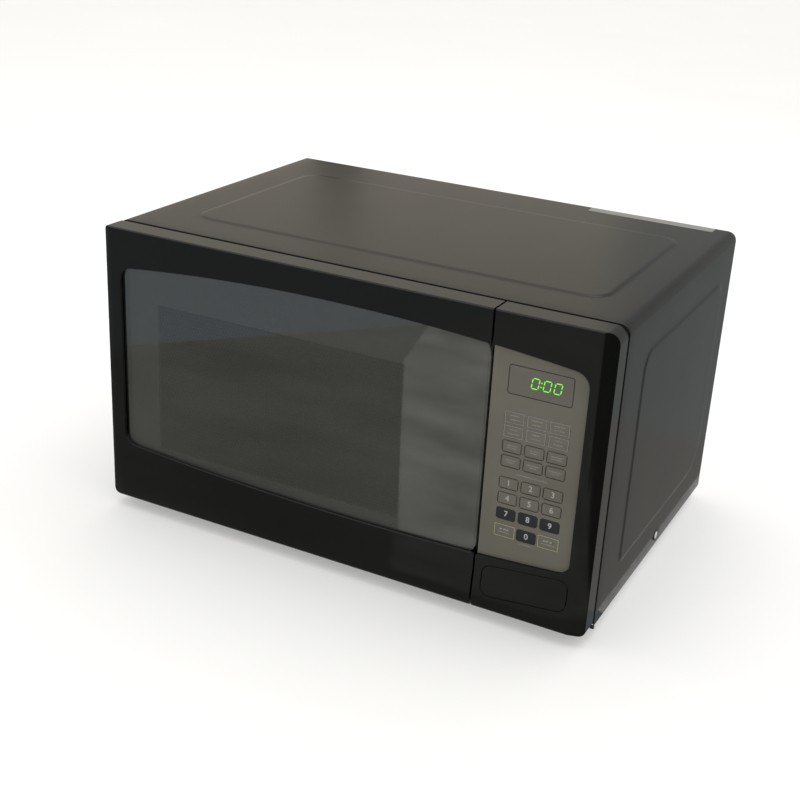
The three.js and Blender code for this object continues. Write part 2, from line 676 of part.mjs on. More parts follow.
function doorFrame() {
  const bodyOfDoor = frontBlank.intersect(box([-span, doorRight], [-span, span], [-span, span]));
  const room = cut(
    sweep(frontOutline(wall), 'y', [frameFront + wall, span]),
    box([doorRight - wall, span], [-span, span], [-span, span]),
  );
  const beyond = doorRight + 10;
  const lens = sweep(
    lensOutline({ left: lensEnd.left, right: beyond, radii: lensRadii }), 'y', [-span, frameFront + 4],
  );
  const groove = sweep(
    lensOutline({ left: lensEnd.left - glassLip, right: beyond, radii: lensRadii, grow: glassLip }),
    'y', [glassFront - gap, glassFront + glassThickness + gap],
  );
  const bosses = bossLevels.map((z) => cut(
    box([-frontHalf + 1.5, hingeX + 6], [hingeY - 5.5, hingeY + 3], z),
    disc(hingePinRadius + gap, 'z', [hingeX, hingeY, 0], [0, span], 16),
  ));
  const armRoom = hingeArm.levels.map((z) => disc(
    armSwing, 'z', [hingeX, hingeY, 0], [z - sheet, z + hingeArm.thickness + sheet], 24,
  ));
  return cut(join(cut(bodyOfDoor, room), ...bosses), lens, groove, ...armRoom);
}

function doorGlass() {
  const hidden = glassLip - gap;
  const outline = lensOutline({
    left: lensEnd.left - hidden, right: doorRight, radii: lensRadii, grow: hidden, steps: 24,
  });
  const edges = box([-span, doorRight], [-span, span], [-span, span]);
  return sweep(outline, 'y', [glassFront, glassFront + glassThickness]).intersect(edges);
}

const screenHole = { x: [-188, 73], z: [52, 212] };
const panel = { x: [-208, 104], z: [22, 248], back: 2.4, front: 14, middle: 12 }; // back..middle: setbacks

// Pressed inner panel: the middle stands forward, close behind the glass, and the rim around it is the
// choke channel, open towards the front.
function doorPanel() {
  const { back: rear, front: nearest, middle: web } = panel;
  const [back, front, middle] = [rear, nearest, web].map((setback) => cabinetFront - setback);
  const grown = ([low, high], by) => [low - by, high + by];
  const column = (by, y) => box(grown(screenHole.x, by), y, grown(screenHole.z, by));
  const block = box(panel.x, [front, back], panel.z);
  const channel = cut(
    box(grown(panel.x, -sheet), [-span, back - sheet], grown(panel.z, -sheet)),
    column(1 + sheet, [-span, span]),
  );
  return cut(block, column(1, [middle, span]), channel, column(1, [-span, middle - sheet]));
}

function chokeCover() {
  const y = [cabinetFront - 2.1, cabinetFront - 0.8];
  const plate = sweep(roundedRectangle([-209, 124], [20.5, 249.5], 4, 3), 'y', y);
  const opening = sweep(roundedRectangle(screenHole.x, screenHole.z, 5, 3), 'y', [-span, span]);
  const slots = hookWindows.map((z) => box([hookSlot[0] + 1, hookSlot[1] - 2], [-span, span], z));
  return cut(plate, opening, ...slots);
}

// Upper and lower hook on one bar, which rides up and down inside the door's right edge.
function latchHook() {
  const x = [hooks.left, hooks.right];
  const tip = cabinetFront + hooks.tip;
  const barbFront = cabinetFront + hooks.barbStart;
  const bar = box(
    [x[0] - 1.5, x[1] + 1.5], [cabinetFront - 13, cabinetFront - 7],
    [hooks.bottoms[0] - 8, hooks.bottoms[1] + hooks.height + 7],
  );
  const arms = hooks.bottoms.map((z) => join(
    box(x, [cabinetFront - 8, tip], [z, z + hooks.height]),
    sweep([
      new THREE.Vector2(barbFront, z + 1),
      new THREE.Vector2(barbFront, z - hooks.barb),
      new THREE.Vector2(tip - 1, z - hooks.barb + 2),
      new THREE.Vector2(tip, z + 1),
    ], 'x', x),
  ));
  return join(bar, ...arms);
}

// Hinge plate on the back of the front plate, an arm that reaches into the door, and its pin.
function hinge(upper) {
  const armLow = hingeArm.levels[upper ? 1 : 0];
  const armHigh = armLow + hingeArm.thickness;
  const plateZ = upper ? [236, 254] : [15, 31];
  const plateY = [cabinetFront + sheet + gap, cabinetFront + sheet + gap + 1.5];
  const pinLength = 11;
  const pinZ = upper ? [armLow + 1 - pinLength, armLow + 1] : [armHigh - 1, armHigh - 1 + pinLength];
  return join(
    box([-222, -188], plateY, plateZ),
    box([hingeArm.left, hingeArm.right], [hingeY - 3, plateY[1]], [armLow, armHigh]),
    disc(hingePinRadius, 'z', [hingeX, hingeY, 0], pinZ, 16),
  );
}

// ---------------------------------------------------------------------------------------------------
// Control panel
// ---------------------------------------------------------------------------------------------------
const overlayBack = glassFront + keyThickness;
const floorFront = overlayBack + gap;
const floorBack = floorFront + wall;
const boardFront = cabinetFront - 9;
const displayBlock = { width: 47, height: 19.4 };
const overlayRadii = { topRight: lensRadii.topRight, bottomRight: lensRadii.bottomRight };
const overlayLeft = fasciaLeft - 50; // the overlay's outline runs on under the door and is cut at the fascia
const buttonLens = { left: 137.7, right: 207.7, low: 18.9, high: 44.3, radius: 1870, corner: 7 };

// The release button follows the curve of the lens above it.
function buttonOutline(grow) {
  const { radius } = buttonLens;
  const rise = (x) => radius - Math.sqrt(radius ** 2 - x ** 2);
  const low = (x) => buttonLens.low + rise(x) - grow;
  const high = (x) => buttonLens.high + rise(x) + grow;
  const corner = buttonLens.corner + grow;
  const start = buttonLens.left - grow + corner;
  const end = buttonLens.right + grow - corner;
  const tilt = Math.atan(panelCentre / radius);
  const quarter = Math.PI / 2;
  return [
    ...arc(start, low(start) + corner, corner, 2 * quarter, 3 * quarter + tilt, 5),
    ...arc(end, low(end) + corner, corner, 3 * quarter + tilt, 4 * quarter, 5),
    ...arc(end, high(end) - corner, corner, 0, quarter + tilt, 5),
    ...arc(start, high(start) - corner, corner, quarter + tilt, 2 * quarter, 5),
  ];
}

function displayOpening(width, height, grow) {
  const [halfX, halfZ] = [width / 2 + grow, height / 2 + grow];
  return {
    x: [panelCentre - halfX, panelCentre + halfX],
    z: [display.centreZ - halfZ, display.centreZ + halfZ],
  };
}

// A shell with a shallow floor behind the keypad film, and deep pockets above, below and beside it.
function controlFascia() {
  const body = frontBlank.intersect(box([fasciaLeft, span], [-span, span], [-span, span]));
  const inner = (y) => cut(
    sweep(frontOutline(wall), 'y', [y, span]),
    box([-span, fasciaLeft + wall], [-span, span], [-span, span]),
  );
  const lens = (grow, y) => sweep(
    lensOutline({ left: overlayLeft, right: lensEnd.right + grow, radii: overlayRadii, grow, steps: 8 }),
    'y', y,
  );
  const besideFloor = box([lensEnd.right + 5, span], [-span, span], [-span, span]);
  const deep = cut(inner(frameFront + wall), lens(wall, [-span, span]), besideFloor);
  const recess = lens(gap, [-span, floorFront]);
  const button = sweep(buttonOutline(2 * gap), 'y', [-span, span]);
  const opening = displayOpening(displayBlock.width, displayBlock.height, gap);
  const displayWindow = box(opening.x, [-span, span], opening.z);
  const keyRoom = box([141.5, 197.5], [-span, floorFront + 0.6], [74, 184]);
  return cut(body, inner(floorBack), deep, recess, button, displayWindow, keyRoom);
}

function keypadOverlay(keys) {
  const outline = lensOutline({ left: overlayLeft, right: lensEnd.right, radii: overlayRadii, steps: 12 });
  const body = sweep(outline, 'y', [glassFront, overlayBack])
    .intersect(box([fasciaLeft + gap, span], [-span, span], [-span, span]));
  const opening = displayOpening(display.width, display.height, 0);
  const displayHole = sweep(roundedRectangle(opening.x, opening.z, 2.2, 3), 'y', [-span, span]);
  const keyHoles = keys.map((key) => sweep(keyOutline(key, keyGap), 'y', [-span, span]));
  return cut(body, displayHole, ...keyHoles);
}

function keyOutline({ x, z, width: w, height: h }, grow) {
  const [halfX, halfZ] = [w / 2 + grow, h / 2 + grow];
  return roundedRectangle([x - halfX, x + halfX], [z - halfZ, z + halfZ], keyRadius + grow, 1);
}

function keyList() {
  const columns = [-1, 0, 1].map((i) => panelCentre + i * keyPitch);
  const size = { width: keyWidth, height: keyHeight };
  const keys = [];
  keyRows.quick.forEach((z, row) => columns.forEach((x, i) => {
    keys.push({ name: `key_quick_${row * 3 + i + 1}`, x, z, ...size });
  }));
  keyRows.programme.forEach((z, row) => columns.forEach((x, i) => {
    keys.push({ name: `key_programme_${row * 3 + i + 1}`, x, z, ...size });
  }));
  keyRows.digits.slice(0, 3).forEach((z, row) => columns.forEach((x, i) => {
    keys.push({ name: `key_${row * 3 + i + 1}`, x, z, ...size });
  }));
  const last = keyRows.digits[3];
  keys.push({ name: 'key_stop', x: columns[0], z: last, ...largeKey });
  keys.push({ name: 'key_0', x: columns[1], z: last, ...size });
  keys.push({ name: 'key_start', x: columns[2], z: last, ...largeKey });
  return keys;
}

function keyPad(key) {
  return sweep(keyOutline({ ...key, x: 0, z: 0 }, 0), 'y', [0, keyThickness]);
}

const stem = { x: [142, 150], z: [38.5, 45] };
const pivot = { y: cabinetFront + 9.5, z: 56.4, pin: 2.5, hub: 4.6 };

// The button's face is cut from the same swelling front as the fascia around it.
function doorButton() {
  const back = cabinetFront - 14;
  const face = frontBlank.intersect(sweep(buttonOutline(0), 'y', [-span, back]));
  const rodEnd = pivot.y - 3 - 0.4;
  return join(face, box(stem.x, [back - 1, rodEnd], stem.z));
}

// Bell crank: the button's rod pushes the lower arm back, and the upper arm lifts the hooks.
function releaseLever() {
  const hub = cut(
    disc(pivot.hub, 'x', [0, pivot.y, pivot.z], [106, 151], 20),
    disc(pivot.pin + gap, 'x', [0, pivot.y, pivot.z], [0, span], 16),
  );
  const liftZ = [pivot.z - 2, hookWindows[0][0] - 0.4];
  const lift = box([hooks.left, hooks.right], [pivot.y + 3.4, pivot.y + leverArm + 2], liftZ);
  const push = box(stem.x, [pivot.y - 3, pivot.y + 3], [pivot.z - leverArm - 5, pivot.z - 3.6]);
  return join(hub, lift, push);
}

const bracket = { x: [100.5, 127], z: [45, 232], depth: 46, thickness: 2.5, ribs: [110, 150, 190] };
const switchBody = { x: [102, 119], y: [28, 44], below: 8, above: 20, plungerX: [110, 114] };

// Angle bracket behind the front plate, with the lever's pin and a switch behind each hook.
function latchBracket() {
  const front = cabinetFront + sheet + gap;
  const plateRight = bracket.x[0] + bracket.thickness;
  const plate = box([bracket.x[0], plateRight], [front, cabinetFront + bracket.depth], bracket.z);
  const flange = box(bracket.x, [front, front + 2], bracket.z);
  const slots = hookWindows.map((z) => box(hookSlot, [-span, front + 5], z));
  const leverRoom = box([hookSlot[0] - 1, span], [-span, front + 5], [50, 61.6]);
  const ribs = bracket.ribs.map((z) => box([plateRight - 1, bracket.x[1]], [front, front + 16], [z, z + 2]));
  const pin = disc(pivot.pin, 'x', [0, pivot.y, pivot.z], [plateRight - 1, 152], 16);
  const [switchFront, switchBack] = switchBody.y.map((setback) => cabinetFront + setback);
  const switches = hooks.bottoms.map((z) => join(
    box(switchBody.x, [switchFront, switchBack], [z - switchBody.below, z + switchBody.above]),
    box(switchBody.plungerX, [switchFront - 2, switchFront + 1], [z + 2, z + 6]),
  ));
  return join(cut(join(plate, flange), ...slots, leverRoom), ...ribs, ...switches, pin);
}

const board = { x: [142, 204], z: [68, 240], thickness: 1.6 };
const relays = [{ x: [150, 168], z: [90, 112] }, { x: [174, 192], z: [90, 112] }];
const relayDepth = 17;
const smallTransformer = { x: [150, 186], z: [140, 170], depth: 26 };
const buzzer = { x: 192, z: 190, radius: 7, depth: 9 };
const smallCapacitor = { x: 154, z: 190, radius: 5, depth: 14 };

function controlBoard() {
  const back = boardFront + board.thickness - 0.6;
  const place = displayOpening(displayBlock.width, displayBlock.height, 0);
  const upright = ({ x, z, radius, depth: length }, segments) => disc(
    radius, 'y', [x, 0, z], [back, back + length], segments,
  );
  return join(
    box(board.x, [boardFront, boardFront + board.thickness], board.z),
    box(place.x, [overlayBack + 0.1, back], place.z),
    ...relays.map(({ x, z }) => box(x, [back, back + relayDepth], z)),
    box(smallTransformer.x, [back, back + smallTransformer.depth], smallTransformer.z),
    upright(buzzer, 16), upright(smallCapacitor, 12),
  );
}

// ---------------------------------------------------------------------------------------------------
// Materials and assembly
// ---------------------------------------------------------------------------------------------------
function finish(color, roughness, metalness) {
  return new THREE.MeshStandardMaterial({ color, roughness, metalness });
}

const materials = {
  paintedSteel: finish(0x3a3935, 0.4, 0.3),
  zincSteel: finish(0x9a9c9e, 0.4, 0.9),
  enamel: finish(0xa9a9a5, 0.35, 0.1),
  blackPlastic: finish(0x121212, 0.25, 0),
  mirrorGlass: finish(0x3f4040, 0.08, 0.6),
  clearGlass: finish(0xcfdad6, 0.05, 0),
  overlay: finish(0x5b594f, 0.4, 0.5),
  keyLight: finish(0x64625a, 0.45, 0.3),
  keyDark: finish(0x24262b, 0.4, 0),
  rubber: finish(0x1c1c1c, 0.8, 0),
  mica: finish(0xb9a888, 0.6, 0),
  copper: finish(0x8a5a34, 0.4, 0.7),
  circuit: finish(0x2a5a3a, 0.5, 0),
  whitePlastic: finish(0xd8d8d2, 0.5, 0),
  greyPlastic: finish(0x77787a, 0.5, 0),
};

const oven = new THREE.Group();

function add(name, body, material, [x, y, z] = [0, 0, 0]) {
  const mesh = new THREE.Mesh(geometryOf(body), material);
  mesh.name = name;
  mesh.position.set(x, y, z);
  oven.add(mesh);
  return mesh;
}

add('cabinet_cover', cabinetCover(), materials.paintedSteel);
add('base_plate', basePlate(), materials.zincSteel);
add('rear_panel', rearPanel(), materials.zincSteel);
const footNames = ['foot_front_left', 'foot_front_right', 'foot_rear_left', 'foot_rear_right'];
footNames.forEach((name, i) => add(name, foot(), materials.rubber, [...footPlaces[i], 0]));
add('cord_gland', cordGland(), materials.blackPlastic);

add('oven_cavity', ovenCavity(), materials.enamel);
add('waveguide_cover', waveguideCover(), materials.mica);
add('magnetron', magnetron(), materials.zincSteel);
add('transformer', transformer(), materials.copper);
add('capacitor', capacitor(), materials.zincSteel);
add('fan_shroud', fanShroud(), materials.greyPlastic);
add('fan_impeller', fanImpeller(), materials.whitePlastic, [fan.x, 0, fan.z]);
add('oven_lamp', ovenLamp(), materials.clearGlass);

const onAxis = [turntable.x, turntable.y, 0];
add('turntable_motor', turntableMotor(), materials.zincSteel, onAxis);
add('turntable_coupler', turntableCoupler(), materials.whitePlastic, onAxis);
add('glass_tray', glassTray(), materials.clearGlass, onAxis);
add('roller_ring', rollerRing(), materials.whitePlastic, onAxis);
for (let i = 0; i < 3; i += 1) {
  const angle = (2 * Math.PI * i) / 3;
  const place = [
    turntable.x + rollerOrbit * Math.cos(angle), turntable.y + rollerOrbit * Math.sin(angle), axleHeight,
  ];
  add(`roller_${i + 1}`, roller(), materials.whitePlastic, place).rotation.z = angle;
}

add('door_frame', doorFrame(), materials.blackPlastic);
add('door_glass', doorGlass(), materials.mirrorGlass);
add('door_panel', doorPanel(), materials.zincSteel);
add('choke_cover', chokeCover(), materials.blackPlastic);
add('latch_hook', latchHook(), materials.whitePlastic);
add('hinge_upper', hinge(true), materials.zincSteel);
add('hinge_lower', hinge(false), materials.zincSteel);

const keys = keyList();
const darkKeys = ['key_7', 'key_8', 'key_9', 'key_0'];
add('control_fascia', controlFascia(), materials.blackPlastic);
add('keypad_overlay', keypadOverlay(keys), materials.overlay);
keys.forEach((key) => {
  const material = darkKeys.includes(key.name) ? materials.keyDark : materials.keyLight;
  add(key.name, keyPad(key), material, [key.x, glassFront, key.z]);
});
add('door_button', doorButton(), materials.blackPlastic);
add('release_lever', releaseLever(), materials.whitePlastic);
add('latch_bracket', latchBracket(), materials.whitePlastic);
add('control_board', controlBoard(), materials.circuit);

export default oven;
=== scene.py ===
"""Countertop microwave oven: the looks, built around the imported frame.

Lengths are in millimetres, in the frame's own axes (+X right, +Y back, +Z up), and turn into metres
where a mesh is made. The places of the camera and the light are in metres.
"""

import math
import random

import bmesh
import bpy
from mathutils import Matrix, Vector


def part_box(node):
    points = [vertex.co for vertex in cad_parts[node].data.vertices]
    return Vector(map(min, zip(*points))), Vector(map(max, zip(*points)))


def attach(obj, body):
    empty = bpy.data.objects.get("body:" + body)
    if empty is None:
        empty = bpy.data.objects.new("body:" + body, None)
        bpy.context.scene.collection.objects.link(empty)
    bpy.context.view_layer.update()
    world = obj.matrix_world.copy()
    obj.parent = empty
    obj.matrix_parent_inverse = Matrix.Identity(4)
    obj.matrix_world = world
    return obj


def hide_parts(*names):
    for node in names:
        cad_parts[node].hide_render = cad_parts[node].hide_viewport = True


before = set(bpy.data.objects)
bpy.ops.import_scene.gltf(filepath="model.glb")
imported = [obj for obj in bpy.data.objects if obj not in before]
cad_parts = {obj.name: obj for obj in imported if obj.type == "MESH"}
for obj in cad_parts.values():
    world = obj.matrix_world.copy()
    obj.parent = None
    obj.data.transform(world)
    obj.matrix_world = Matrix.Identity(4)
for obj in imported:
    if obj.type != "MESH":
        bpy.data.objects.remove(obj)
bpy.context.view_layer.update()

MM = 0.001
SEED = 7


def extent(node):
    """Lowest and highest corner of a CAD node, in millimetres."""
    low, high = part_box(node)
    return low / MM, high / MM


COVER_LOW, COVER_HIGH = extent("cabinet_cover")
GLASS_LOW, GLASS_HIGH = extent("door_glass")
PANEL_LOW, PANEL_HIGH = extent("door_panel")
OVERLAY_LOW, OVERLAY_HIGH = extent("keypad_overlay")

CABINET_FRONT = COVER_LOW.y
CABINET_BACK = COVER_HIGH.y
FILM_FRONT = OVERLAY_LOW.y
KEYPAD_CENTRE = (extent("key_1")[0].x + extent("key_3")[1].x) / 2


# --------------------------------------------------------------------------------------------------
# Meshes
# --------------------------------------------------------------------------------------------------
def link(name, mesh, materials, body):
    """A new piece of the object: it rides on a body and takes its finish from a slot."""
    piece = bpy.data.objects.new(name, mesh)
    bpy.context.scene.collection.objects.link(piece)
    for material in materials:
        mesh.materials.append(material)
    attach(piece, body)
    return piece


def mesh_from(name, points, faces):
    """A smooth-shaded mesh from points in millimetres."""
    mesh = bpy.data.meshes.new(name)
    mesh.from_pydata([tuple(Vector(p) * MM) for p in points], [], faces)
    mesh.update()
    mesh.shade_smooth()
    return mesh


class Builder:
    """Collects points and faces, with a material number for each face, in millimetres."""

    def __init__(self):
        self.points = []
        self.faces = []
        self.numbers = []

    def add(self, points, faces, number=0):
        start = len(self.points)
        self.points.extend(points)
        self.faces.extend([tuple(start + i for i in face) for face in faces])
        self.numbers.extend([number] * len(faces))

    def mesh(self, name, merge=0):
        """The mesh, its faces pointing outward, after corners nearer than merge have become one."""
        mesh = mesh_from(name, self.points, self.faces)
        mesh.polygons.foreach_set("material_index", self.numbers)
        face_outward(mesh, merge)
        return mesh


def arc(x, y, radius, start, end, steps):
    """Points on an arc; angles in quarter turns."""
    quarter = math.pi / 2
    angles = [(start + (end - start) * i / steps) * quarter for i in range(steps + 1)]
    return [(x + radius * math.cos(a), y + radius * math.sin(a)) for a in angles]


def rounded_outline(x0, x1, y0, y1, radius, steps=6):
    """A rounded rectangle, counter-clockwise."""
    return (
        arc(x0 + radius, y0 + radius, radius, 2, 3, steps)
        + arc(x1 - radius, y0 + radius, radius, 3, 4, steps)
        + arc(x1 - radius, y1 - radius, radius, 0, 1, steps)
        + arc(x0 + radius, y1 - radius, radius, 1, 2, steps)
    )


CORNERS = ((0, 0), (1, 0), (1, 1), (0, 1))  # low or high end of each side, round a rectangle


def ring_faces(rings):
    """Faces that join each ring of a stack to the next; the rings are equally long."""
    count = len(rings[0])
    return [
        (a + i, a + (i + 1) % count, a + count + (i + 1) % count, a + count + i)
        for a in range(0, count * (len(rings) - 1), count) for i in range(count)
    ]


def rings_to_solid(builder, rings, number=0):
    """Closed solid from a stack of rings, capped at both ends."""
    count = len(rings[0])
    last = (len(rings) - 1) * count
    caps = [tuple(reversed(range(count))), tuple(range(last, last + count))]
    builder.add([p for ring in rings for p in ring], ring_faces(rings) + caps, number)


def front_plate(builder, outline_at, y_front, y_back, rounding, number=0):
    """A plate that faces -Y: outline_at(grow) gives its outline as (x, z) points."""
    steps = 3
    rings = [[(x, y_back, z) for x, z in outline_at(0)]]
    for i in range(steps + 1):
        angle = math.pi / 2 * i / steps
        inset = rounding * (1 - math.cos(angle))
        y = y_front + rounding * (1 - math.sin(angle))
        rings.append([(x, y, z) for x, z in outline_at(-inset)])
    rings_to_solid(builder, rings, number)


def closed_band(builder, loops, number=0):
    """A ring-shaped solid: equally long loops, joined in turn round its section."""
    total = len(loops) * len(loops[0])
    faces = [tuple(i % total for i in face) for face in ring_faces([*loops, loops[0]])]
    builder.add([p for loop in loops for p in loop], faces, number)


def front_ring(builder, outline_at, outer, inner, y_front, y_back, number=0):
    """A flat printed line between two offsets of one outline, facing -Y."""
    closed_band(builder, [
        [(x, y, z) for x, z in outline_at(grow)]
        for grow, y in ((outer, y_back), (outer, y_front), (inner, y_front), (inner, y_back))
    ], number)


def face_outward(mesh, merge=0):
    work = bmesh.new()
    work.from_mesh(mesh)
    if merge:
        bmesh.ops.remove_doubles(work, verts=work.verts, dist=merge * MM)
    bmesh.ops.recalc_face_normals(work, faces=work.faces)
    work.to_mesh(mesh)
    work.free()
    mesh.update()


def sharpen(piece, degrees=35):
    """Keeps an edge sharp in the smooth shading where its faces meet at more than this angle."""
    piece.data.set_sharp_from_angle(angle=math.radians(degrees))


# --------------------------------------------------------------------------------------------------
# Materials
# --------------------------------------------------------------------------------------------------
class Shader:
    """One Principled material and the nodes that feed it."""

    def __init__(self, name, **constants):
        self.material = bpy.data.materials.new(name)
        self.material.use_nodes = True
        self.nodes = self.material.node_tree.nodes
        self.links = self.material.node_tree.links
        self.surface = self.nodes["Principled BSDF"]
        self.place = self.nodes.new("ShaderNodeTexCoord").outputs["Object"]
        for socket, value in constants.items():
            self.surface.inputs[socket.replace("_", " ")].default_value = value

    def stretched(self, scale):
        node = self.nodes.new("ShaderNodeMapping")
        node.inputs["Scale"].default_value = scale
        self.links.new(self.place, node.inputs["Vector"])
        return node.outputs["Vector"]

    def noise(self, size_mm, detail=3.0, rough=0.5, where=None):
        """Cloudy noise whose features are about size_mm across."""
        node = self.nodes.new("ShaderNodeTexNoise")
        node.inputs["Scale"].default_value = 1 / (size_mm * MM)
        node.inputs["Detail"].default_value = detail
        node.inputs["Roughness"].default_value = rough
        self.links.new(where or self.place, node.inputs["Vector"])
        return node.outputs["Fac"]

    def cells(self, size_mm, where=None):
        """Grains about size_mm across, each with one random value from 0 to 1."""
        node = self.nodes.new("ShaderNodeTexVoronoi")
        node.inputs["Scale"].default_value = 1 / (size_mm * MM)
        self.links.new(where or self.place, node.inputs["Vector"])
        grain = self.nodes.new("ShaderNodeSeparateColor")
        self.links.new(node.outputs["Color"], grain.inputs["Color"])
        return grain.outputs["Red"]

    def remap(self, value, low, high, to_low, to_high):
        node = self.nodes.new("ShaderNodeMapRange")
        node.inputs["From Min"].default_value = low
        node.inputs["From Max"].default_value = high
        node.inputs["To Min"].default_value = to_low
        node.inputs["To Max"].default_value = to_high
        self.links.new(value, node.inputs["Value"])
        return node.outputs["Result"]

    def blend(self, factor, first, second):
        """Colour that goes from first to second; each is a colour or an output."""
        node = self.nodes.new("ShaderNodeMix")
        node.data_type = "RGBA"
        self.links.new(factor, node.inputs["Factor"])
        # Inputs 6 and 7 and output 2 are the node's colour sockets.
        for socket, colour in ((node.inputs[6], first), (node.inputs[7], second)):
            if isinstance(colour, bpy.types.NodeSocket):
                self.links.new(colour, socket)
            else:
                socket.default_value = (*colour, 1)
        return node.outputs[2]

    def component(self, axis):
        node = self.nodes.new("ShaderNodeSeparateXYZ")
        self.links.new(self.place, node.inputs["Vector"])
        return node.outputs[axis]

    def mottle(self, cloud, first, second, start=0.3, end=0.7):
        """A colour that drifts from first to second as the cloud rises from start to end."""
        return self.blend(self.remap(cloud, start, end, 0, 1), first, second)

    def colour(self, output):
        self.links.new(output, self.surface.inputs["Base Color"])

    def roughness(self, cloud, low, high, start=0.3, end=0.7):
        """Roughness that drifts from low to high as the cloud rises from start to end."""
        self.links.new(self.remap(cloud, start, end, low, high), self.surface.inputs["Roughness"])

    def flat_colour(self, socket, colour):
        self.surface.inputs[socket].default_value = (*colour, 1)

    def bump(self, height, depth_mm):
        """Stacks a bump of the given depth on any that is already there."""
        node = self.nodes.new("ShaderNodeBump")
        node.inputs["Strength"].default_value = 1
        node.inputs["Distance"].default_value = depth_mm * MM
        self.links.new(height, node.inputs["Height"])
        normal = self.surface.inputs["Normal"]
        if normal.is_linked:
            self.links.new(normal.links[0].from_socket, node.inputs["Normal"])
        self.links.new(node.outputs["Normal"], normal)


def powder_coat():
    shader = Shader("satin_black_powder_coat", Specular_IOR_Level=0.36)
    cloud = shader.noise(60, 4)
    shader.colour(shader.mottle(cloud, (0.0085, 0.008, 0.0072), (0.011, 0.0105, 0.0095)))
    shader.roughness(cloud, 0.19, 0.24)
    shader.bump(shader.noise(0.7, 2), 0.004)
    shader.bump(shader.noise(90, 1), 0.12)
    return shader.material


def gloss_black():
    shader = Shader("gloss_black_plastic", Specular_IOR_Level=0.5)
    shader.colour(shader.blend(shader.noise(120, 2), (0.0035, 0.0037, 0.0036), (0.0052, 0.0053, 0.005)))
    shader.roughness(shader.noise(35, 4, 0.6), 0.1, 0.17, start=0.35)
    shader.bump(shader.noise(1.6, 2), 0.002)
    return shader.material


def mirror_film():
    shader = Shader("half_mirrored_glass", Metallic=1.0, Alpha=0.62)
    shader.colour(shader.blend(shader.noise(200, 1), (0.365, 0.37, 0.375), (0.395, 0.395, 0.39)))
    shader.roughness(shader.noise(40, 3), 0.015, 0.04, start=0.4)
    shader.bump(shader.noise(130, 1), 0.03)
    return shader.material


def panel_film(name, low, high):
    shader = Shader(name, Metallic=0.15, Specular_IOR_Level=0.5)
    streaks = shader.noise(0.5, 2, where=shader.stretched((1, 1, 0.03)))
    shader.colour(shader.mottle(shader.noise(45, 3), low, high))
    shader.roughness(streaks, 0.34, 0.42)
    shader.bump(shader.noise(0.35, 2), 0.004)
    return shader.material


def ink(name, colour, glow=0.0):
    shader = Shader(name, Specular_IOR_Level=0.4)
    darker = tuple(c * 0.8 for c in colour)
    shader.colour(shader.blend(shader.noise(0.8, 2), darker, colour))
    shader.roughness(shader.noise(2, 2), 0.4, 0.55)
    if glow:
        shader.flat_colour("Emission Color", colour)
        shader.surface.inputs["Emission Strength"].default_value = glow
    return shader.material


def plastic(name, colour, rough=0.42, grain_mm=0.5):
    shader = Shader(name)
    darker = tuple(c * 0.82 for c in colour)
    shader.colour(shader.blend(shader.noise(18, 3), darker, colour))
    shader.roughness(shader.noise(6, 3), rough - 0.05, rough + 0.06)
    shader.bump(shader.noise(grain_mm, 2), 0.012)
    return shader.material


def zinc_steel(name, colour, metallic=0.9):
    """Galvanised sheet with its fine spangle."""
    shader = Shader(name, Metallic=metallic)
    spangle = shader.cells(3.2, shader.stretched((1, 1, 0.7)))
    darker = tuple(c * 0.86 for c in colour)
    shader.colour(shader.blend(spangle, colour, darker))
    shader.roughness(shader.noise(25, 4), 0.33, 0.45)
    shader.bump(shader.noise(60, 2), 0.05)
    return shader.material


def enamel():
    """Light grey cavity paint; the front plate's visible face is black, which also serves as painted
    shade that darkens the seam in front of it.
    """
    shader = Shader("cavity_enamel", Specular_IOR_Level=0.5)
    grey = shader.mottle(shader.noise(55, 2), (0.34, 0.34, 0.325), (0.352, 0.352, 0.338), 0.35, 0.65)
    # Black paint on the front plate's face, partly painted shade for the seam in front of it.
    plate_back = [(CABINET_FRONT + depth) * MM for depth in (0.9, 1.1)]
    shader.colour(shader.mottle(shader.component("Y"), (0.012, 0.012, 0.012), grey, *plate_back))
    shader.roughness(shader.noise(40, 2), 0.28, 0.34)
    shader.bump(shader.noise(9, 1), 0.006)
    return shader.material


def clear_glass():
    shader = Shader("clear_glass", Transmission_Weight=1.0, IOR=1.5)
    shader.flat_colour("Base Color", (0.93, 0.97, 0.95))
    shader.roughness(shader.noise(30, 3), 0.01, 0.06)
    return shader.material


def laminations():
    shader = Shader("transformer_laminations", Metallic=0.6)
    stack = shader.noise(0.9, 1, where=shader.stretched((0.02, 1, 0.02)))
    shader.colour(shader.mottle(stack, (0.05, 0.035, 0.025), (0.11, 0.085, 0.065), 0.4, 0.6))
    shader.roughness(shader.noise(4, 2), 0.35, 0.55)
    shader.bump(stack, 0.1)
    return shader.material


def circuit_board():
    shader = Shader("circuit_board", Specular_IOR_Level=0.5)
    shader.colour(shader.mottle(shader.cells(3), (0.03, 0.12, 0.05), (0.015, 0.06, 0.03), 0.2, 0.3))
    shader.roughness(shader.noise(3, 2), 0.3, 0.45)
    return shader.material


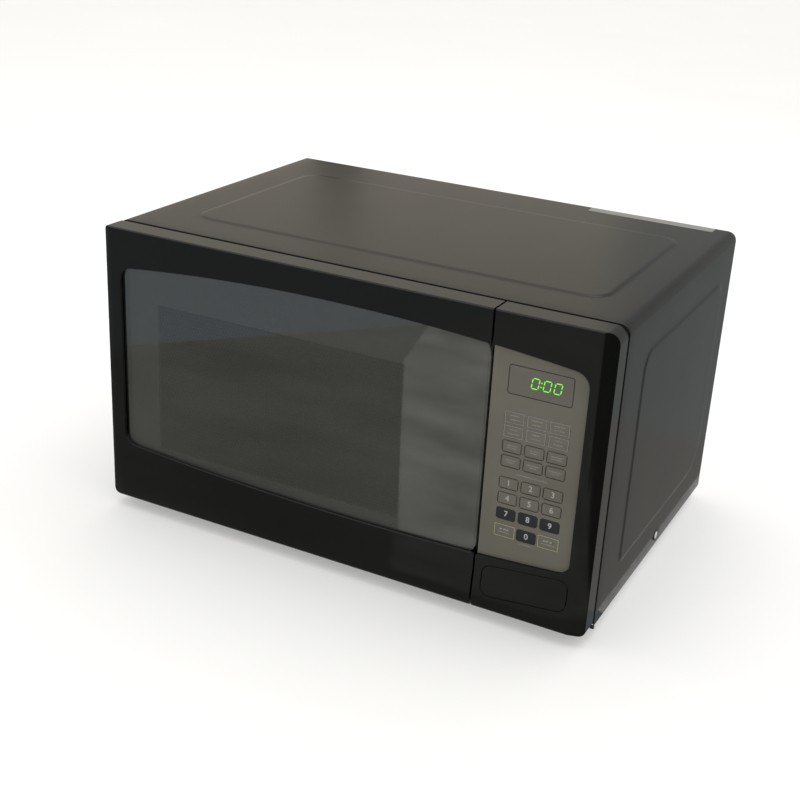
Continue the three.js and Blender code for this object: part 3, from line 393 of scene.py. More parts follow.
POWDER = powder_coat()
GLOSS = gloss_black()
MIRROR = mirror_film()
FILM = panel_film("champagne_panel_film", (0.122, 0.117, 0.094), (0.142, 0.136, 0.11))
ENAMEL = enamel()
ZINC = zinc_steel("zinc_coated_steel", (0.5, 0.51, 0.52))
GLASS = clear_glass()
LAMINATIONS = laminations()
BOARD = circuit_board()
RUBBER = plastic("black_rubber", (0.016, 0.016, 0.016), 0.7, 0.4)
MICA = plastic("mica_board", (0.42, 0.34, 0.22), 0.55, 1.2)
ALUMINIUM = zinc_steel("drawn_aluminium", (0.62, 0.62, 0.62))
BRIGHT_ZINC = zinc_steel("bright_zinc_screws", (0.95, 0.95, 0.95), 0.4)
GREY_PLASTIC = plastic("grey_plastic", (0.16, 0.16, 0.165))
WHITE_PLASTIC = plastic("white_plastic", (0.66, 0.66, 0.62))
BLACK_PLASTIC = plastic("satin_black_plastic", (0.014, 0.014, 0.014), 0.36)
# Black paint of the perforated field, partly painted shade: it also stands in for the dark seen through
# the holes.
SCREEN_PAINT_AND_SHADE = plastic("screen_paint_and_shade", (0.016, 0.016, 0.016), 0.45)
PANEL_PAINT = plastic("door_panel_paint", (0.3, 0.3, 0.285), 0.45)
BORDER_PRINT = ink("window_border_print", (0.56, 0.56, 0.53))
LABEL_PAPER = plastic("blank_label", (0.25, 0.25, 0.232), 0.5, 0.8)
DARK_INK = ink("dark_ink", (0.014, 0.014, 0.014))
GREY_INK = ink("grey_ink", (0.29, 0.29, 0.275))
COOL_INK = ink("cool_grey_ink", (0.25, 0.26, 0.27))
LIGHT_INK = ink("light_ink", (0.36, 0.36, 0.345))
WHITE_INK = ink("white_ink", (0.42, 0.42, 0.42))
YELLOW_INK = ink("pale_yellow_ink", (0.42, 0.38, 0.23))
KEY_DARK = ink("dark_key_ink", (0.018, 0.02, 0.026))
GREEN_LIGHT = ink("green_display_light", (0.12, 0.8, 0.015), glow=0.85)
WINDOW_TINT = panel_film("display_window_film", (0.12, 0.112, 0.096), (0.136, 0.128, 0.108))


# --------------------------------------------------------------------------------------------------
# CAD nodes that stay: eased edges and real materials
# --------------------------------------------------------------------------------------------------
WELD_DISTANCE = 0.01
FLAT_ANGLE = 0.3  # faces that meet at less count as one flat face
ROUNDED_ANGLE = 32  # edges that turn more are rounded
SHARP_ANGLE = 40


def dress(node, material, rounding):
    """Gives a CAD node its material, and modifiers that round its sharp edges; 0 leaves them sharp."""
    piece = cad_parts[node]
    piece.data.materials.clear()
    piece.data.materials.append(material)
    if not rounding:
        return
    weld = piece.modifiers.new("weld", "WELD")
    weld.merge_threshold = WELD_DISTANCE * MM
    flatten = piece.modifiers.new("flatten", "DECIMATE")
    flatten.decimate_type = "DISSOLVE"
    flatten.angle_limit = math.radians(FLAT_ANGLE)
    ease = piece.modifiers.new("ease", "BEVEL")
    ease.width = rounding * MM
    ease.segments = 2
    ease.limit_method = "ANGLE"
    ease.angle_limit = math.radians(ROUNDED_ANGLE)
    ease.harden_normals = False
    ease.use_clamp_overlap = True
    level = piece.modifiers.new("level_faces", "WEIGHTED_NORMAL")
    level.weight = 100
    level.keep_sharp = True
    piece.data.shade_smooth()
    sharpen(piece, SHARP_ANGLE)


def dress_all():
    roundings = [
        (ZINC, {"base_plate": 0.2, "rear_panel": 0.25, "magnetron": 0.3, "turntable_motor": 0.4,
                "hinge_upper": 0.3, "hinge_lower": 0.3}),
        (GLOSS, {"door_frame": 0.5, "control_fascia": 0.5, "door_button": 0.8}),
        (WHITE_PLASTIC, {"fan_impeller": 0.3, "turntable_coupler": 0.5, "roller_ring": 0.6,
                         "roller_1": 0.3, "roller_2": 0.3, "roller_3": 0.3,
                         "latch_hook": 0.4, "release_lever": 0.3, "latch_bracket": 0.3}),
        (BLACK_PLASTIC, {"cord_gland": 0.4, "choke_cover": 0.4}),
        (RUBBER, {"foot_front_left": 0.6, "foot_front_right": 0.6,
                  "foot_rear_left": 0.6, "foot_rear_right": 0.6}),
        (GLASS, {"oven_lamp": 0.3, "glass_tray": 0.5}),
        (GREY_PLASTIC, {"fan_shroud": 0.4}),
        (ENAMEL, {"oven_cavity": 0.25}),
        (MICA, {"waveguide_cover": 0.1}),
        (LAMINATIONS, {"transformer": 0.4}),
        (ALUMINIUM, {"capacitor": 0.4}),
        (MIRROR, {"door_glass": 0.1}),
        (FILM, {"keypad_overlay": 0}),
        (BOARD, {"control_board": 0.2}),
    ]
    for material, nodes in roundings:
        for node, rounding in nodes.items():
            dress(node, material, rounding)


# --------------------------------------------------------------------------------------------------
# Cabinet skin: one wrapped sheet with a raised field on the top and on each side
# --------------------------------------------------------------------------------------------------
FIELD_HEIGHT = 0.8
FIELD_SLOPE = 3.2
SKIN_THICKNESS = 0.4
CABINET_RADIUS = 8.5
FRONT_ROLL = 0.6
FRONT_DROOP = 1.3  # the top comes down to the door's top edge
BACK_ROLL = 1.2
# Each field's radii are ((low low, low high), (high low, high high)), by its two directions.
TOP_FIELD = {
    "low": (-180, CABINET_FRONT + 42), "high": (190, CABINET_FRONT + 234), "radii": ((18, 18), (18, 18)),
}
SIDE_FIELD = {
    "low": (CABINET_FRONT + 47, 45.5), "high": (CABINET_FRONT + 262, 222.5), "radii": ((6, 16), (30, 16)),
}
# Where the fields' edges slope, and the skin's points lie close together.
SLOPES_X = ((-184, -156), (166, 194))
SLOPES_Y = ((CABINET_FRONT + 36, CABINET_FRONT + 68), (CABINET_FRONT + 212, CABINET_FRONT + 270))
SLOPES_Z = ((40, 78), (200, 226))
SLOPE_STEP = 1.3


def field_height(field, a, b):
    """Height of the raised field at a place on its face."""
    (a0, b0), (a1, b1) = field["low"], field["high"]
    radius = field["radii"][a > (a0 + a1) / 2][b > (b0 + b1) / 2]
    inward_a = min(a - a0, a1 - a) - radius
    inward_b = min(b - b0, b1 - b) - radius
    if inward_a < 0 and inward_b < 0:
        inside = radius - math.hypot(inward_a, inward_b)
    else:
        inside = min(inward_a, inward_b) + radius
    share = min(max(inside / FIELD_SLOPE + 0.5, 0), 1)
    return FIELD_HEIGHT * share * share * (3 - 2 * share)


def stations(low, high, zones, coarse=14):
    """Places from low to high, close together inside the zones, which are (from, to, step)."""
    places = [low]
    while places[-1] < high - 0.001:
        here = places[-1]
        inside = [step for a, b, step in zones if a - 0.001 <= here < b - 0.001]
        ahead = [a for a, _, _ in zones if a > here + 0.001] + [high]
        places.append(min(here + min(inside, default=coarse), *ahead))
    return places


def rolled_edge(distance, radius):
    """How far a sheet falls away where its edge is rolled over, at a distance from that edge."""
    reach = max(radius - distance, 0)
    return radius - math.sqrt(radius ** 2 - reach ** 2)


def cabinet_section():
    """The skin's section: x, z, the outward normal, and the face whose field may lift the point."""
    radius, arc_steps = CABINET_RADIUS, 12
    left, right = COVER_LOW.x + FIELD_HEIGHT, COVER_HIGH.x - FIELD_HEIGHT
    bottom, top = COVER_LOW.z, COVER_HIGH.z - FIELD_HEIGHT
    side_z = stations(bottom, top - radius, [(*slope, SLOPE_STEP) for slope in SLOPES_Z])
    top_x = stations(left + radius, right - radius, [(*slope, SLOPE_STEP) for slope in SLOPES_X])
    section = [(left, z, (-1, 0), "side") for z in side_z[:-1]]
    for x, z in arc(left + radius, top - radius, radius, 2, 1, arc_steps):
        section.append((x, z, ((x - left - radius) / radius, (z - top + radius) / radius), None))
    section += [(x, top, (0, 1), "top") for x in top_x[1:-1]]
    for x, z in arc(right - radius, top - radius, radius, 1, 0, arc_steps):
        section.append((x, z, ((x - right + radius) / radius, (z - top + radius) / radius), None))
    section += [(right, z, (1, 0), "side") for z in reversed(side_z[:-1])]
    return section


def cabinet_skin():
    section = cabinet_section()
    depth = stations(CABINET_FRONT, CABINET_BACK, [
        (CABINET_FRONT, CABINET_FRONT + FRONT_ROLL, 0.1),
        (CABINET_BACK - BACK_ROLL, CABINET_BACK, 0.2),
        *[(*slope, SLOPE_STEP) for slope in SLOPES_Y],
    ])
    points = []
    for y in depth:
        fall = rolled_edge(y - CABINET_FRONT, FRONT_ROLL) + rolled_edge(CABINET_BACK - y, BACK_ROLL)
        droop = FRONT_DROOP * (CABINET_BACK - y) / (CABINET_BACK - CABINET_FRONT)
        for x, z, (normal_x, normal_z), face in section:
            lift = -fall
            if face == "side":
                lift += field_height(SIDE_FIELD, y, z)
            elif face == "top":
                lift += field_height(TOP_FIELD, x, y)
            points.append((x + normal_x * lift, y, z + normal_z * (lift - droop)))
    count = len(section)
    faces = []
    for row in range(len(depth) - 1):
        for i in range(count - 1):
            a = row * count + i
            faces.append((a, a + count, a + count + 1, a + 1))
    mesh = mesh_from("cabinet_skin", points, faces)
    face_outward(mesh)
    skin = link("cabinet_skin", mesh, [POWDER], "chassis")
    thicken = skin.modifiers.new("thicken", "SOLIDIFY")
    thicken.thickness = SKIN_THICKNESS * MM
    thicken.offset = -1
    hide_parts("cabinet_cover")


# --------------------------------------------------------------------------------------------------
# Small pieces on and behind the cabinet's edges
# --------------------------------------------------------------------------------------------------
LINER = {"inset": 1.7, "width": 7.3, "depth": (1.1, 3.1)}
# The tab's place is measured from the cover's lower right front corner.
LINER_TAB = {"x": (-3.5, -0.5), "y": (-1.2, 1), "z": (-2.5, -0.2)}
SCREW_HEAD = {"side": (3.7, 0.76), "rear": (3.6, 1.9)}  # radius and height
SIDE_SCREW = {"y": 14.5, "z": 21}
# Painted shade round the side screw: a black ring, its radius and height.
SIDE_SHADE_RING = (5.2, 0.22)
REAR_SCREWS = {"top": (247, (-196, -58, 84, 204)), "low": (20.5, (-196, -58, 104))}  # z, then each x
LABEL_STRIP = {"x": (90, 206), "y": (CABINET_BACK - 13.5, CABINET_BACK - BACK_ROLL - 0.3), "radius": 1.2}


def seam_liner():
    """Dark ring behind the seam, painted shade that stands for the shade in the gap, so that nothing
    inside shows through it, and a tab at its foot.
    """
    def ring(inset, y):
        radius = max(CABINET_RADIUS - inset, 1)
        x0, x1 = COVER_LOW.x + inset, COVER_HIGH.x - inset
        z0, z1 = COVER_LOW.z + 0.5, COVER_HIGH.z - FRONT_DROOP - inset
        outline = [(x0, z0), (x1, z0)] + arc(x1 - radius, z1 - radius, radius, 0, 1, 6)
        outline += arc(x0 + radius, z1 - radius, radius, 1, 2, 6)
        return [(x, y, z) for x, z in outline]

    front, back = [CABINET_FRONT + depth for depth in LINER["depth"]]
    outer, inner = LINER["inset"], LINER["inset"] + LINER["width"]
    builder = Builder()
    closed_band(builder, [ring(outer, front), ring(inner, front), ring(inner, back), ring(outer, back)])
    tab_x = [COVER_HIGH.x + x for x in LINER_TAB["x"]]
    tab_y = [CABINET_FRONT + y for y in LINER_TAB["y"]]
    tab_z = [COVER_LOW.z + z for z in LINER_TAB["z"]]
    rings_to_solid(builder, [[(tab_x[i], tab_y[j], z) for i, j in CORNERS] for z in tab_z])
    mesh = builder.mesh("seam_liner")
    # Painted shade: the ring is black so that the seam reads dark.
    liner = link("seam_liner", mesh, [RUBBER], "chassis")
    sharpen(liner)


def screw(name, place, outward, head):
    """Pan-head screw with a cross recess, its head standing outward from the given place."""
    head_radius, head_height = head
    rings, segments = 14, 48
    axis = Vector(outward)
    side = axis.orthogonal().normalized()
    across = axis.cross(side)

    def crown(radius, angle):
        """Height of the domed head, with the cross sunk into it."""
        u, v = radius * math.cos(angle), radius * math.sin(angle)
        dome = head_height * (1 - 0.85 * (radius / head_radius) ** 3)
        arm = head_radius * 0.5
        in_cross = min(max(arm - max(abs(u), abs(v)), 0) / 0.4, 1)
        in_arm = min(max(head_radius * 0.14 - min(abs(u), abs(v)), 0) / 0.15, 1)
        return dome - head_height * 0.5 * in_cross * in_arm

    def point(radius, angle, height):
        flat = side * (radius * math.cos(angle)) + across * (radius * math.sin(angle))
        return Vector(place) + flat + axis * height

    angles = [2 * math.pi * i / segments for i in range(segments)]
    shank = [(head_radius * 0.5, -1.5), (head_radius * 0.5, 0), (head_radius, 0)]
    stack = [[point(radius, a, height) for a in angles] for radius, height in shank]
    for i in range(rings):
        radius = head_radius * (1 - i / rings)
        stack.append([point(radius, a, crown(radius, a)) for a in angles])
    builder = Builder()
    rings_to_solid(builder, stack)
    mesh = builder.mesh(name)
    sharpen(link(name, mesh, [BRIGHT_ZINC], "chassis"), SHARP_ANGLE)


# Black ring round a side screw's head: painted shade that stands for the shadow round the head.
def washer(name, place):
    radius, height = SIDE_SHADE_RING
    x, y, z = place
    side, segments = math.copysign(1, x), 40
    angles = [2 * math.pi * i / segments for i in range(segments)]
    rings = [
        [(x + side * rise, y + r * math.cos(a), z + r * math.sin(a)) for a in angles]
        for r, rise in ((radius, -0.1), (radius, height * 0.6), (radius - height * 0.6, height))
    ]
    builder = Builder()
    rings_to_solid(builder, rings)
    mesh = builder.mesh(name)
    sharpen(link(name, mesh, [RUBBER], "chassis"), 30)


def screws():
    for name, side in (("left", -1), ("right", 1)):
        place = (side * (COVER_HIGH.x - FIELD_HEIGHT), SIDE_SCREW["y"], SIDE_SCREW["z"])
        washer(f"side_shade_ring_{name}", place)
        screw(f"side_screw_{name}", place, (side, 0, 0), SCREW_HEAD["side"])
    for row, (z, places) in REAR_SCREWS.items():
        for i, x in enumerate(places, 1):
            screw(f"rear_screw_{row}_{i}", (x, CABINET_BACK, z), (0, 1, 0), SCREW_HEAD["rear"])


def label_strip():
    """A blank pale strip stuck on the top, along its rear edge."""
    low = COVER_HIGH.z - FIELD_HEIGHT - 0.06
    (x0, x1), (y0, y1) = LABEL_STRIP["x"], LABEL_STRIP["y"]
    rings = []
    for inset, height in ((0, 0), (0, 0.08), (0.06, 0.12)):
        outline = rounded_outline(x0 + inset, x1 - inset, y0 + inset, y1 - inset, LABEL_STRIP["radius"])
        rings.append([(x, y, low + height) for x, y in outline])
    builder = Builder()
    rings_to_solid(builder, rings)
    mesh = builder.mesh("blank_label_strip")
    strip = link("blank_label_strip", mesh, [LABEL_PAPER], "chassis")
    sharpen(strip)


# --------------------------------------------------------------------------------------------------
# Door panel: one pressed sheet with a perforated middle
# --------------------------------------------------------------------------------------------------
WINDOW = {"x": (-188, 73), "z": (52, 212)}
PERFORATION = {"x": (-176, 57.5), "z": (64, 196.5), "pitch": 3.1, "hole": 1.05}
PANEL_SHEET = 0.8
PANEL_BEND = 1.2
PANEL_WEB = 1.6  # from the panel's front to its flat middle
BORDER_LIP = 3.6


def perforated_field(builder, y, number):
    """Rows of eight-sided holes, every other row shifted by half a pitch."""
    (x0, x1), (z0, z1) = PERFORATION["x"], PERFORATION["z"]
    columns, rows = round((x1 - x0) / PERFORATION["pitch"]), round((z1 - z0) / PERFORATION["pitch"])
    width, height = (x1 - x0) / columns, (z1 - z0) / rows
    hole_rim = arc(0, 0, PERFORATION["hole"], 0, 4, 8)[:8]
    steps = [(1, 0), (1, 1), (0, 1), (-1, 1), (-1, 0), (-1, -1), (0, -1), (1, -1)]
    cell_faces = [(i, (i + 1) % 8, 8 + (i + 1) % 8, 8 + i) for i in range(8)]
    for row in range(rows):
        z = z0 + (row + 0.5) * height
        shifted = row % 2
        for column in range(columns - shifted):
            x = x0 + (column + 0.5 + 0.5 * shifted) * width
            edge = [(x + u * width / 2, y, z + v * height / 2) for u, v in steps]
            rim = [(x + u, y, z + v) for u, v in hole_rim]
            builder.add(edge + rim, cell_faces, number)
        if shifted:
            for end, inner in ((x0, x0 + width / 2), (x1, x1 - width / 2)):
                corners = [(end, y, z - height / 2), (inner, y, z - height / 2), (inner, y, z),
                           (inner, y, z + height / 2), (end, y, z + height / 2)]
                builder.add(corners, [(0, 1, 2, 3, 4)], number)


def border_print():
    """Print on the back of the glass, all round the perforated field."""
    outer = rounded_outline(
        GLASS_LOW.x + BORDER_LIP, GLASS_HIGH.x - BORDER_LIP,
        GLASS_LOW.z + BORDER_LIP, GLASS_HIGH.z - BORDER_LIP, 9, 5,
    )
    inner = rounded_outline(*PERFORATION["x"], *PERFORATION["z"], 0.5, 5)
    front, back = GLASS_HIGH.y + 0.15, GLASS_HIGH.y + 0.3
    builder = Builder()
    closed_band(builder, [
        [(x, y, z) for x, z in outline]
        for outline, y in ((outer, back), (inner, back), (inner, front), (outer, front))
    ])
    mesh = builder.mesh("window_border_print")
    sharpen(link("window_border_print", mesh, [BORDER_PRINT], "door"))


def door_screen():
    """Outer wall, choke floor, inner wall and web: one sheet from its edge to the perforated field."""
    half, bend = PANEL_SHEET / 2, PANEL_BEND
    front, back, web = PANEL_LOW.y, PANEL_HIGH.y - half, PANEL_LOW.y + PANEL_WEB
    outer = ((PANEL_LOW.x + half, PANEL_HIGH.x - half), (PANEL_LOW.z + half, PANEL_HIGH.z - half))
    window = [(low - 1.4, high + 1.4) for low, high in (WINDOW["x"], WINDOW["z"])]
    field = (PERFORATION["x"], PERFORATION["z"])

    def ring(rectangle, grow, y, radius):
        (x0, x1), (z0, z1) = rectangle
        outline = rounded_outline(x0 - grow, x1 + grow, z0 - grow, z1 + grow, radius, 4)
        return [(x, y, z) for x, z in outline]

    rings = [
        ring(outer, 0, front, 3), ring(outer, 0, back - bend, 3),
        ring(outer, -0.3 * bend, back - 0.3 * bend, 3), ring(outer, -bend, back, 3),
        ring(window, bend, back, 4), ring(window, 0.3 * bend, back - 0.3 * bend, 4),
        ring(window, 0, back - bend, 4), ring(window, 0, web + bend, 4),
        ring(window, -0.3 * bend, web + 0.3 * bend, 4), ring(window, -bend, web, 4),
        ring(field, 0, web, 0.3),
    ]
    builder = Builder()
    builder.add([p for loop in rings for p in loop], ring_faces(rings), 0)
    # Material 1 is the field's black paint, partly painted shade for the dark behind the holes.
    perforated_field(builder, web, 1)
    mesh = builder.mesh("door_screen", merge=0.02)
    screen = link("door_screen", mesh, [PANEL_PAINT, SCREEN_PAINT_AND_SHADE], "door")
    thicken = screen.modifiers.new("thicken", "SOLIDIFY")
    thicken.thickness = PANEL_SHEET * MM
    thicken.offset = 0
    sharpen(screen, SHARP_ANGLE)
    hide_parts("door_panel")


# --------------------------------------------------------------------------------------------------
# Keypad and display
# --------------------------------------------------------------------------------------------------
PRINT_HEIGHT = 0.03
LINE_WIDTH = 0.42
CAPTION_HEIGHT = 0.6
HEADING_HEIGHT = 1.2
NUMBER_HEIGHT = 4.6
KEY_RADIUS = 1.2
KEY_EDGE = 0.08
CLOCK = {"half_width": 25.35, "half_height": 11.4, "z": 206.4, "radius": 2}
DIGIT = {"width": 5.3, "height": 8.1, "slant": 0.14, "rise": -3.65, "lefts": (-7.4, 1.9, 10.2)}
SEGMENT = {"half_width": 0.34, "gap": 0.35, "shoulder": 0.5}
COLON_DOT = 0.95
DIGIT_FONT = bpy.data.fonts.load("<builtin>")
DIGIT_SHARE = 0.7  # of the font's size, that a digit is high
BASE, OUTLINE, MARK = 0, 1, 2  # material numbers of a key and of the display


def glyph(builder, text, x, z, height, y, number):
    """A flat printed character, facing -Y."""
    curve = bpy.data.curves.new("glyph", "FONT")
    curve.body = text
    curve.font = DIGIT_FONT
    curve.size = height / DIGIT_SHARE
    curve.offset = 0.02 * height
    curve.align_x = "CENTER"
    curve.align_y = "CENTER"
    curve.extrude = PRINT_HEIGHT / 2
    maker = bpy.data.objects.new("glyph", curve)
    mesh = bpy.data.meshes.new_from_object(maker)
    points = [(x + v.co.x, y - v.co.z, z + v.co.y) for v in mesh.vertices]
    builder.add(points, [tuple(p.vertices) for p in mesh.polygons], number)
    bpy.data.objects.remove(maker)
    bpy.data.curves.remove(curve)
    bpy.data.meshes.remove(mesh)


def bar(builder, x, z, length, height, y, number):
    """A short printed line that stands for a caption."""
    def outline_at(grow):
        return rounded_outline(
            x - length / 2 - grow, x + length / 2 + grow, z - height / 2 - grow, z + height / 2 + grow,
            height * 0.3, 2,
        )
    front_plate(builder, outline_at, y - PRINT_HEIGHT, y, 0.01, number)


def caption_line(builder, x, z, length, face, number, height=CAPTION_HEIGHT):
    """A row of short marks in place of words."""
    draw = random.Random(round(x * 31 + z * 17))  # seeded by its place, so that rows differ
    scale = height / CAPTION_HEIGHT
    marks, reach = [], 0
    while reach < length:
        marks.append((reach, min(scale * draw.uniform(0.5, 1.1), length - reach)))
        reach = sum(marks[-1]) + scale * draw.choice((0.25, 0.25, 0.6))
    for start, size in marks:
        bar(builder, x - length / 2 + start + size / 2, z, size, height, face, number)


def key_pad(node, key_ink, outline_ink, number_ink, caption):
    """One key: a film pad with its printed outline, and its number or its rows of marks."""
    low, high = extent(node)
    x, z = (low.x + high.x) / 2, (low.z + high.z) / 2
    print_front = low.y - PRINT_HEIGHT / 2
    builder = Builder()

    def outline_at(grow):
        return rounded_outline(
            low.x - grow, high.x + grow, low.z - grow, high.z + grow, KEY_RADIUS + grow, 5,
        )

    front_plate(builder, outline_at, low.y, high.y, KEY_EDGE, BASE)
    front_ring(builder, outline_at, -KEY_EDGE, -KEY_EDGE - LINE_WIDTH, print_front, low.y + 0.2, OUTLINE)
    if isinstance(caption, str):
        glyph(builder, caption, x, z, NUMBER_HEIGHT, print_front, MARK)
    else:
        for offset, length, *height in caption:
            caption_line(builder, x, z + offset, length, low.y, MARK, *height)
    mesh = builder.mesh(f"pad_{node}")
    pad = link(f"pad_{node}", mesh, [key_ink, outline_ink, number_ink], node)
    sharpen(pad)
    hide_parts(node)


def keypad():
    draw = random.Random(SEED)
    for i in range(1, 7):
        rows = [(1.7, draw.uniform(6, 10)), (-1.5, draw.uniform(7, 10.5))]
        key_pad(f"key_quick_{i}", FILM, COOL_INK, GREY_INK, rows)
    for i in range(1, 7):
        rows = [(0.9, draw.uniform(6, 10.5)), (-1, draw.uniform(5, 8))]
        key_pad(f"key_programme_{i}", FILM, DARK_INK, GREY_INK, rows)
    for i in range(1, 7):
        key_pad(f"key_{i}", FILM, DARK_INK, LIGHT_INK, str(i))
    for i in (7, 8, 9, 0):
        key_pad(f"key_{i}", KEY_DARK, KEY_DARK, WHITE_INK, str(i))
    for node in ("key_stop", "key_start"):
        rows = [(1.3, draw.uniform(8, 9), HEADING_HEIGHT), (-1.4, draw.uniform(9.5, 10.5))]
        key_pad(node, FILM, YELLOW_INK, GREY_INK, rows)


def film_prints():
    """Captions printed on the film between the keys, and the membrane that shows in the keys' gaps."""
    builder = Builder()
    between = (extent("key_programme_5")[0].z + extent("key_2")[1].z) / 2
    caption_line(builder, KEYPAD_CENTRE, between, 24, FILM_FRONT, 0)
    caption_line(builder, KEYPAD_CENTRE, extent("key_0")[0].z - 2.4, 10.5, FILM_FRONT, 0)
    mesh = builder.mesh("film_captions")
    link("film_captions", mesh, [GREY_INK], "chassis")

    low, high = extent("key_stop")[0], extent("key_quick_3")[1]

    def outline_at(grow):
        margin = 1 + grow
        return rounded_outline(low.x - margin, high.x + margin, low.z - margin, high.z + margin, 1.5, 3)

    builder = Builder()
    front_plate(builder, outline_at, OVERLAY_HIGH.y + 0.5, OVERLAY_HIGH.y + 0.8, 0.05)
    mesh = builder.mesh("dome_membrane")
    link("dome_membrane", mesh, [FILM], "chassis")


def display():
    """Tinted window with a dark printed border, and the clock's seven-segment digits."""
    half_width, half_height, centre = CLOCK["half_width"], CLOCK["half_height"], CLOCK["z"]
    builder = Builder()

    def outline_at(grow):
        return rounded_outline(
            KEYPAD_CENTRE - half_width - grow, KEYPAD_CENTRE + half_width + grow,
            centre - half_height - grow, centre + half_height + grow, CLOCK["radius"] + grow, 6,
        )

    front_plate(builder, outline_at, FILM_FRONT + 0.02, FILM_FRONT + 0.7, 0.05, BASE)
    front_ring(builder, outline_at, 0.25, -0.35, FILM_FRONT - PRINT_HEIGHT, FILM_FRONT + 0.1, OUTLINE)
    # The six lit segments of a zero, as (across, up) shares of the digit.
    zero = [
        ((0, 1), (1, 1)), ((1, 1), (1, 0.5)), ((1, 0.5), (1, 0)),
        ((0, 0), (1, 0)), ((0, 0), (0, 0.5)), ((0, 0.5), (0, 1)),
    ]
    low = centre + DIGIT["rise"]
    for left in DIGIT["lefts"]:
        for start, end in zero:
            segment_bar(builder, KEYPAD_CENTRE + left, low, start, end, MARK)
    for share in (0.3, 0.7):
        x = KEYPAD_CENTRE - 0.1 + DIGIT["slant"] * DIGIT["height"] * share
        bar(builder, x, low + DIGIT["height"] * share, COLON_DOT, COLON_DOT, FILM_FRONT, MARK)
    mesh = builder.mesh("display_window")
    sharpen(link("display_window", mesh, [WINDOW_TINT, DARK_INK, GREEN_LIGHT], "chassis"))


def segment_bar(builder, left, low, start, end, number):
    """One lit segment: a long hexagon along the line from start to end."""
    def place(across, up):
        rise = up * DIGIT["height"]
        return Vector((left + across * DIGIT["width"] + DIGIT["slant"] * rise, low + rise))

    a, b = place(*start), place(*end)
    along = (b - a).normalized()
    side = Vector((-along.y, along.x)) * SEGMENT["half_width"]
    a, b = a + along * SEGMENT["gap"], b - along * SEGMENT["gap"]
    shoulder = along * SEGMENT["shoulder"]
    outline = [a, a + shoulder - side, b - shoulder - side, b, b - shoulder + side, a + shoulder + side]
    levels = (FILM_FRONT + 0.05, FILM_FRONT - PRINT_HEIGHT)
    rings_to_solid(builder, [[(p.x, y, p.y) for p in outline] for y in levels], number)


# --------------------------------------------------------------------------------------------------
# Studio
# --------------------------------------------------------------------------------------------------
CAMERA_PLACE = (0.4736, -0.9904, 0.5647)  # metres
CAMERA_TURN = {"azimuth": 26.58, "elevation": 23.07, "roll": 3.144}  # degrees
CAMERA_LENS = 59.315
FLOOR_REACH = 6000
CARD_REACH = 3000
OVEN_RIGHT = 227
WALL_DISTANCE = 2500
WALL_HEIGHT = (0, 2600)


def camera():
    data = bpy.data.cameras.new("camera")
    data.lens = CAMERA_LENS
    data.sensor_width = 36
    data.clip_start = 0.01
    data.clip_end = 50
    viewer = bpy.data.objects.new("camera", data)
    turn = (
        Matrix.Rotation(math.radians(CAMERA_TURN["azimuth"]), 4, "Z")
        @ Matrix.Rotation(math.radians(90 - CAMERA_TURN["elevation"]), 4, "X")
        @ Matrix.Rotation(math.radians(CAMERA_TURN["roll"]), 4, "Z")
    )
    viewer.matrix_world = Matrix.Translation(CAMERA_PLACE) @ turn
    bpy.context.scene.collection.objects.link(viewer)
    bpy.context.scene.camera = viewer


def area_light(name, place, target, size, power):
    data = bpy.data.lights.new(name, "AREA")
    data.shape = "RECTANGLE"
    data.size, data.size_y = size
    data.energy = power
    lamp = bpy.data.objects.new(name, data)
    lamp.location = place
    lamp.rotation_mode = "QUATERNION"
    lamp.rotation_quaternion = (Vector(target) - Vector(place)).to_track_quat("-Z", "Y")
    bpy.context.scene.collection.objects.link(lamp)


def reflection_card(name, corners, colour, ripple=0, fold=260):
    """A flat card that only reflections see: it shapes the gloss, and the floor stays plain."""
    mesh = mesh_from(name, corners, [tuple(range(len(corners)))])
    card = bpy.data.objects.new(name, mesh)
    bpy.context.scene.collection.objects.link(card)
    shader = Shader(name, Specular_IOR_Level=0.0, Emission_Strength=1.0, Roughness=1.0)
    shader.flat_colour("Base Color", (0, 0, 0))
    folds = shader.noise(fold, where=shader.stretched((1, 2.2, 1)))
    dim = tuple(c * (1 - ripple) for c in colour)
    glow = shader.mottle(folds, dim, colour, 0.35, 0.65)
    shader.links.new(glow, shader.surface.inputs["Emission Color"])
    mesh.materials.append(shader.material)
    card.visible_camera = False
    card.visible_diffuse = False
    card.visible_transmission = False
    card.visible_shadow = False


def floor_card(name, level, x, y, colour):
    """A rectangle lying flat, a little above the floor."""
    reflection_card(name, [(x[i], y[j], level) for i, j in CORNERS], colour)


def wall_card(name, x, z, distance, colour):
    """A rectangle standing behind the oven, and facing it."""
    reflection_card(name, [(x[i], distance, z[j]) for i, j in CORNERS], colour)


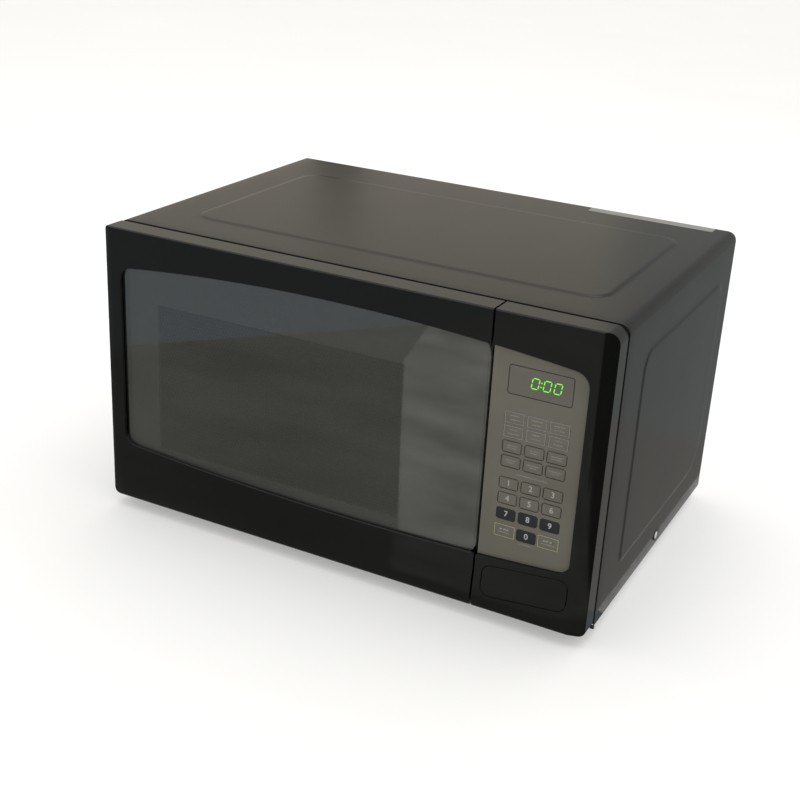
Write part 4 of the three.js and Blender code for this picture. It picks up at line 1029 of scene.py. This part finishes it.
def reflection_cards():
    """Dark table in front, paler cloth beyond its slanting edge, and a wall behind in two tones."""
    floor_card("card_cloth", 0.3, (-CARD_REACH, CARD_REACH), (-CARD_REACH, -100), (0.195, 0.213, 0.226))
    table = [(-770, -141), (120, -1086), (900, -1086), (900, -141)]
    reflection_card("card_table", [(x, y, 0.6) for x, y in table], (0.19, 0.19, 0.168), ripple=0.22)
    folds = [
        (-200, -740), (-172, -618), (-71, -417), (-1, -282),
        (40, -200), (245, -200), (245, -1140), (120, -1140),
    ]
    reflection_card("card_folds", [(x, y, 0.9) for x, y in folds], (0.328, 0.325, 0.298), 0.36, 130)
    floor_card("card_black", 1.2, (250, 2500), (-1500, -170), (0.01, 0.01, 0.01))
    floor_card("card_side_near", 0.3, (OVEN_RIGHT, CARD_REACH), (-100, 270), (0.274, 0.264, 0.247))
    floor_card("card_side_far", 0.3, (OVEN_RIGHT, CARD_REACH), (270, CARD_REACH), (0.262, 0.272, 0.276))
    wall_card("card_wall_left", (-4000, -610), WALL_HEIGHT, WALL_DISTANCE, (0.565, 0.525, 0.445))
    wall_card("card_wall_right", (-610, 5000), WALL_HEIGHT, WALL_DISTANCE, (0.36, 0.366, 0.35))
    wall_card("card_wall_gap", (-1605, -1445), (60, 960), WALL_DISTANCE - 10, (0.03, 0.03, 0.03))


def studio():
    ends = (-FLOOR_REACH, FLOOR_REACH)
    floor_mesh = mesh_from("floor", [(ends[i], ends[j], 0) for i, j in CORNERS], [(0, 1, 2, 3)])
    floor = bpy.data.objects.new("floor", floor_mesh)
    bpy.context.scene.collection.objects.link(floor)
    shader = Shader("pale_floor", Specular_IOR_Level=0.1, Emission_Strength=0.3)
    shader.flat_colour("Emission Color", (1, 1, 1))
    shader.colour(shader.blend(shader.noise(400, 2), (0.66, 0.66, 0.66), (0.69, 0.69, 0.685)))
    shader.roughness(shader.noise(50, 2), 0.7, 0.8, start=0, end=1)
    floor_mesh.materials.append(shader.material)

    world = bpy.data.worlds.new("studio")
    world.use_nodes = True
    background = world.node_tree.nodes["Background"]
    background.inputs["Color"].default_value = (1.0, 0.985, 0.95, 1)
    background.inputs["Strength"].default_value = 0.95
    bpy.context.scene.world = world
    area_light("overhead", place=(0.2, 0.3, 2.2), target=(0, 0, 0), size=(2.2, 2.2), power=18)
    bpy.context.scene.view_settings.view_transform = "Standard"


dress_all()
cabinet_skin()
seam_liner()
screws()
label_strip()
door_screen()
border_print()
keypad()
film_prints()
display()
camera()
studio()
reflection_cards()
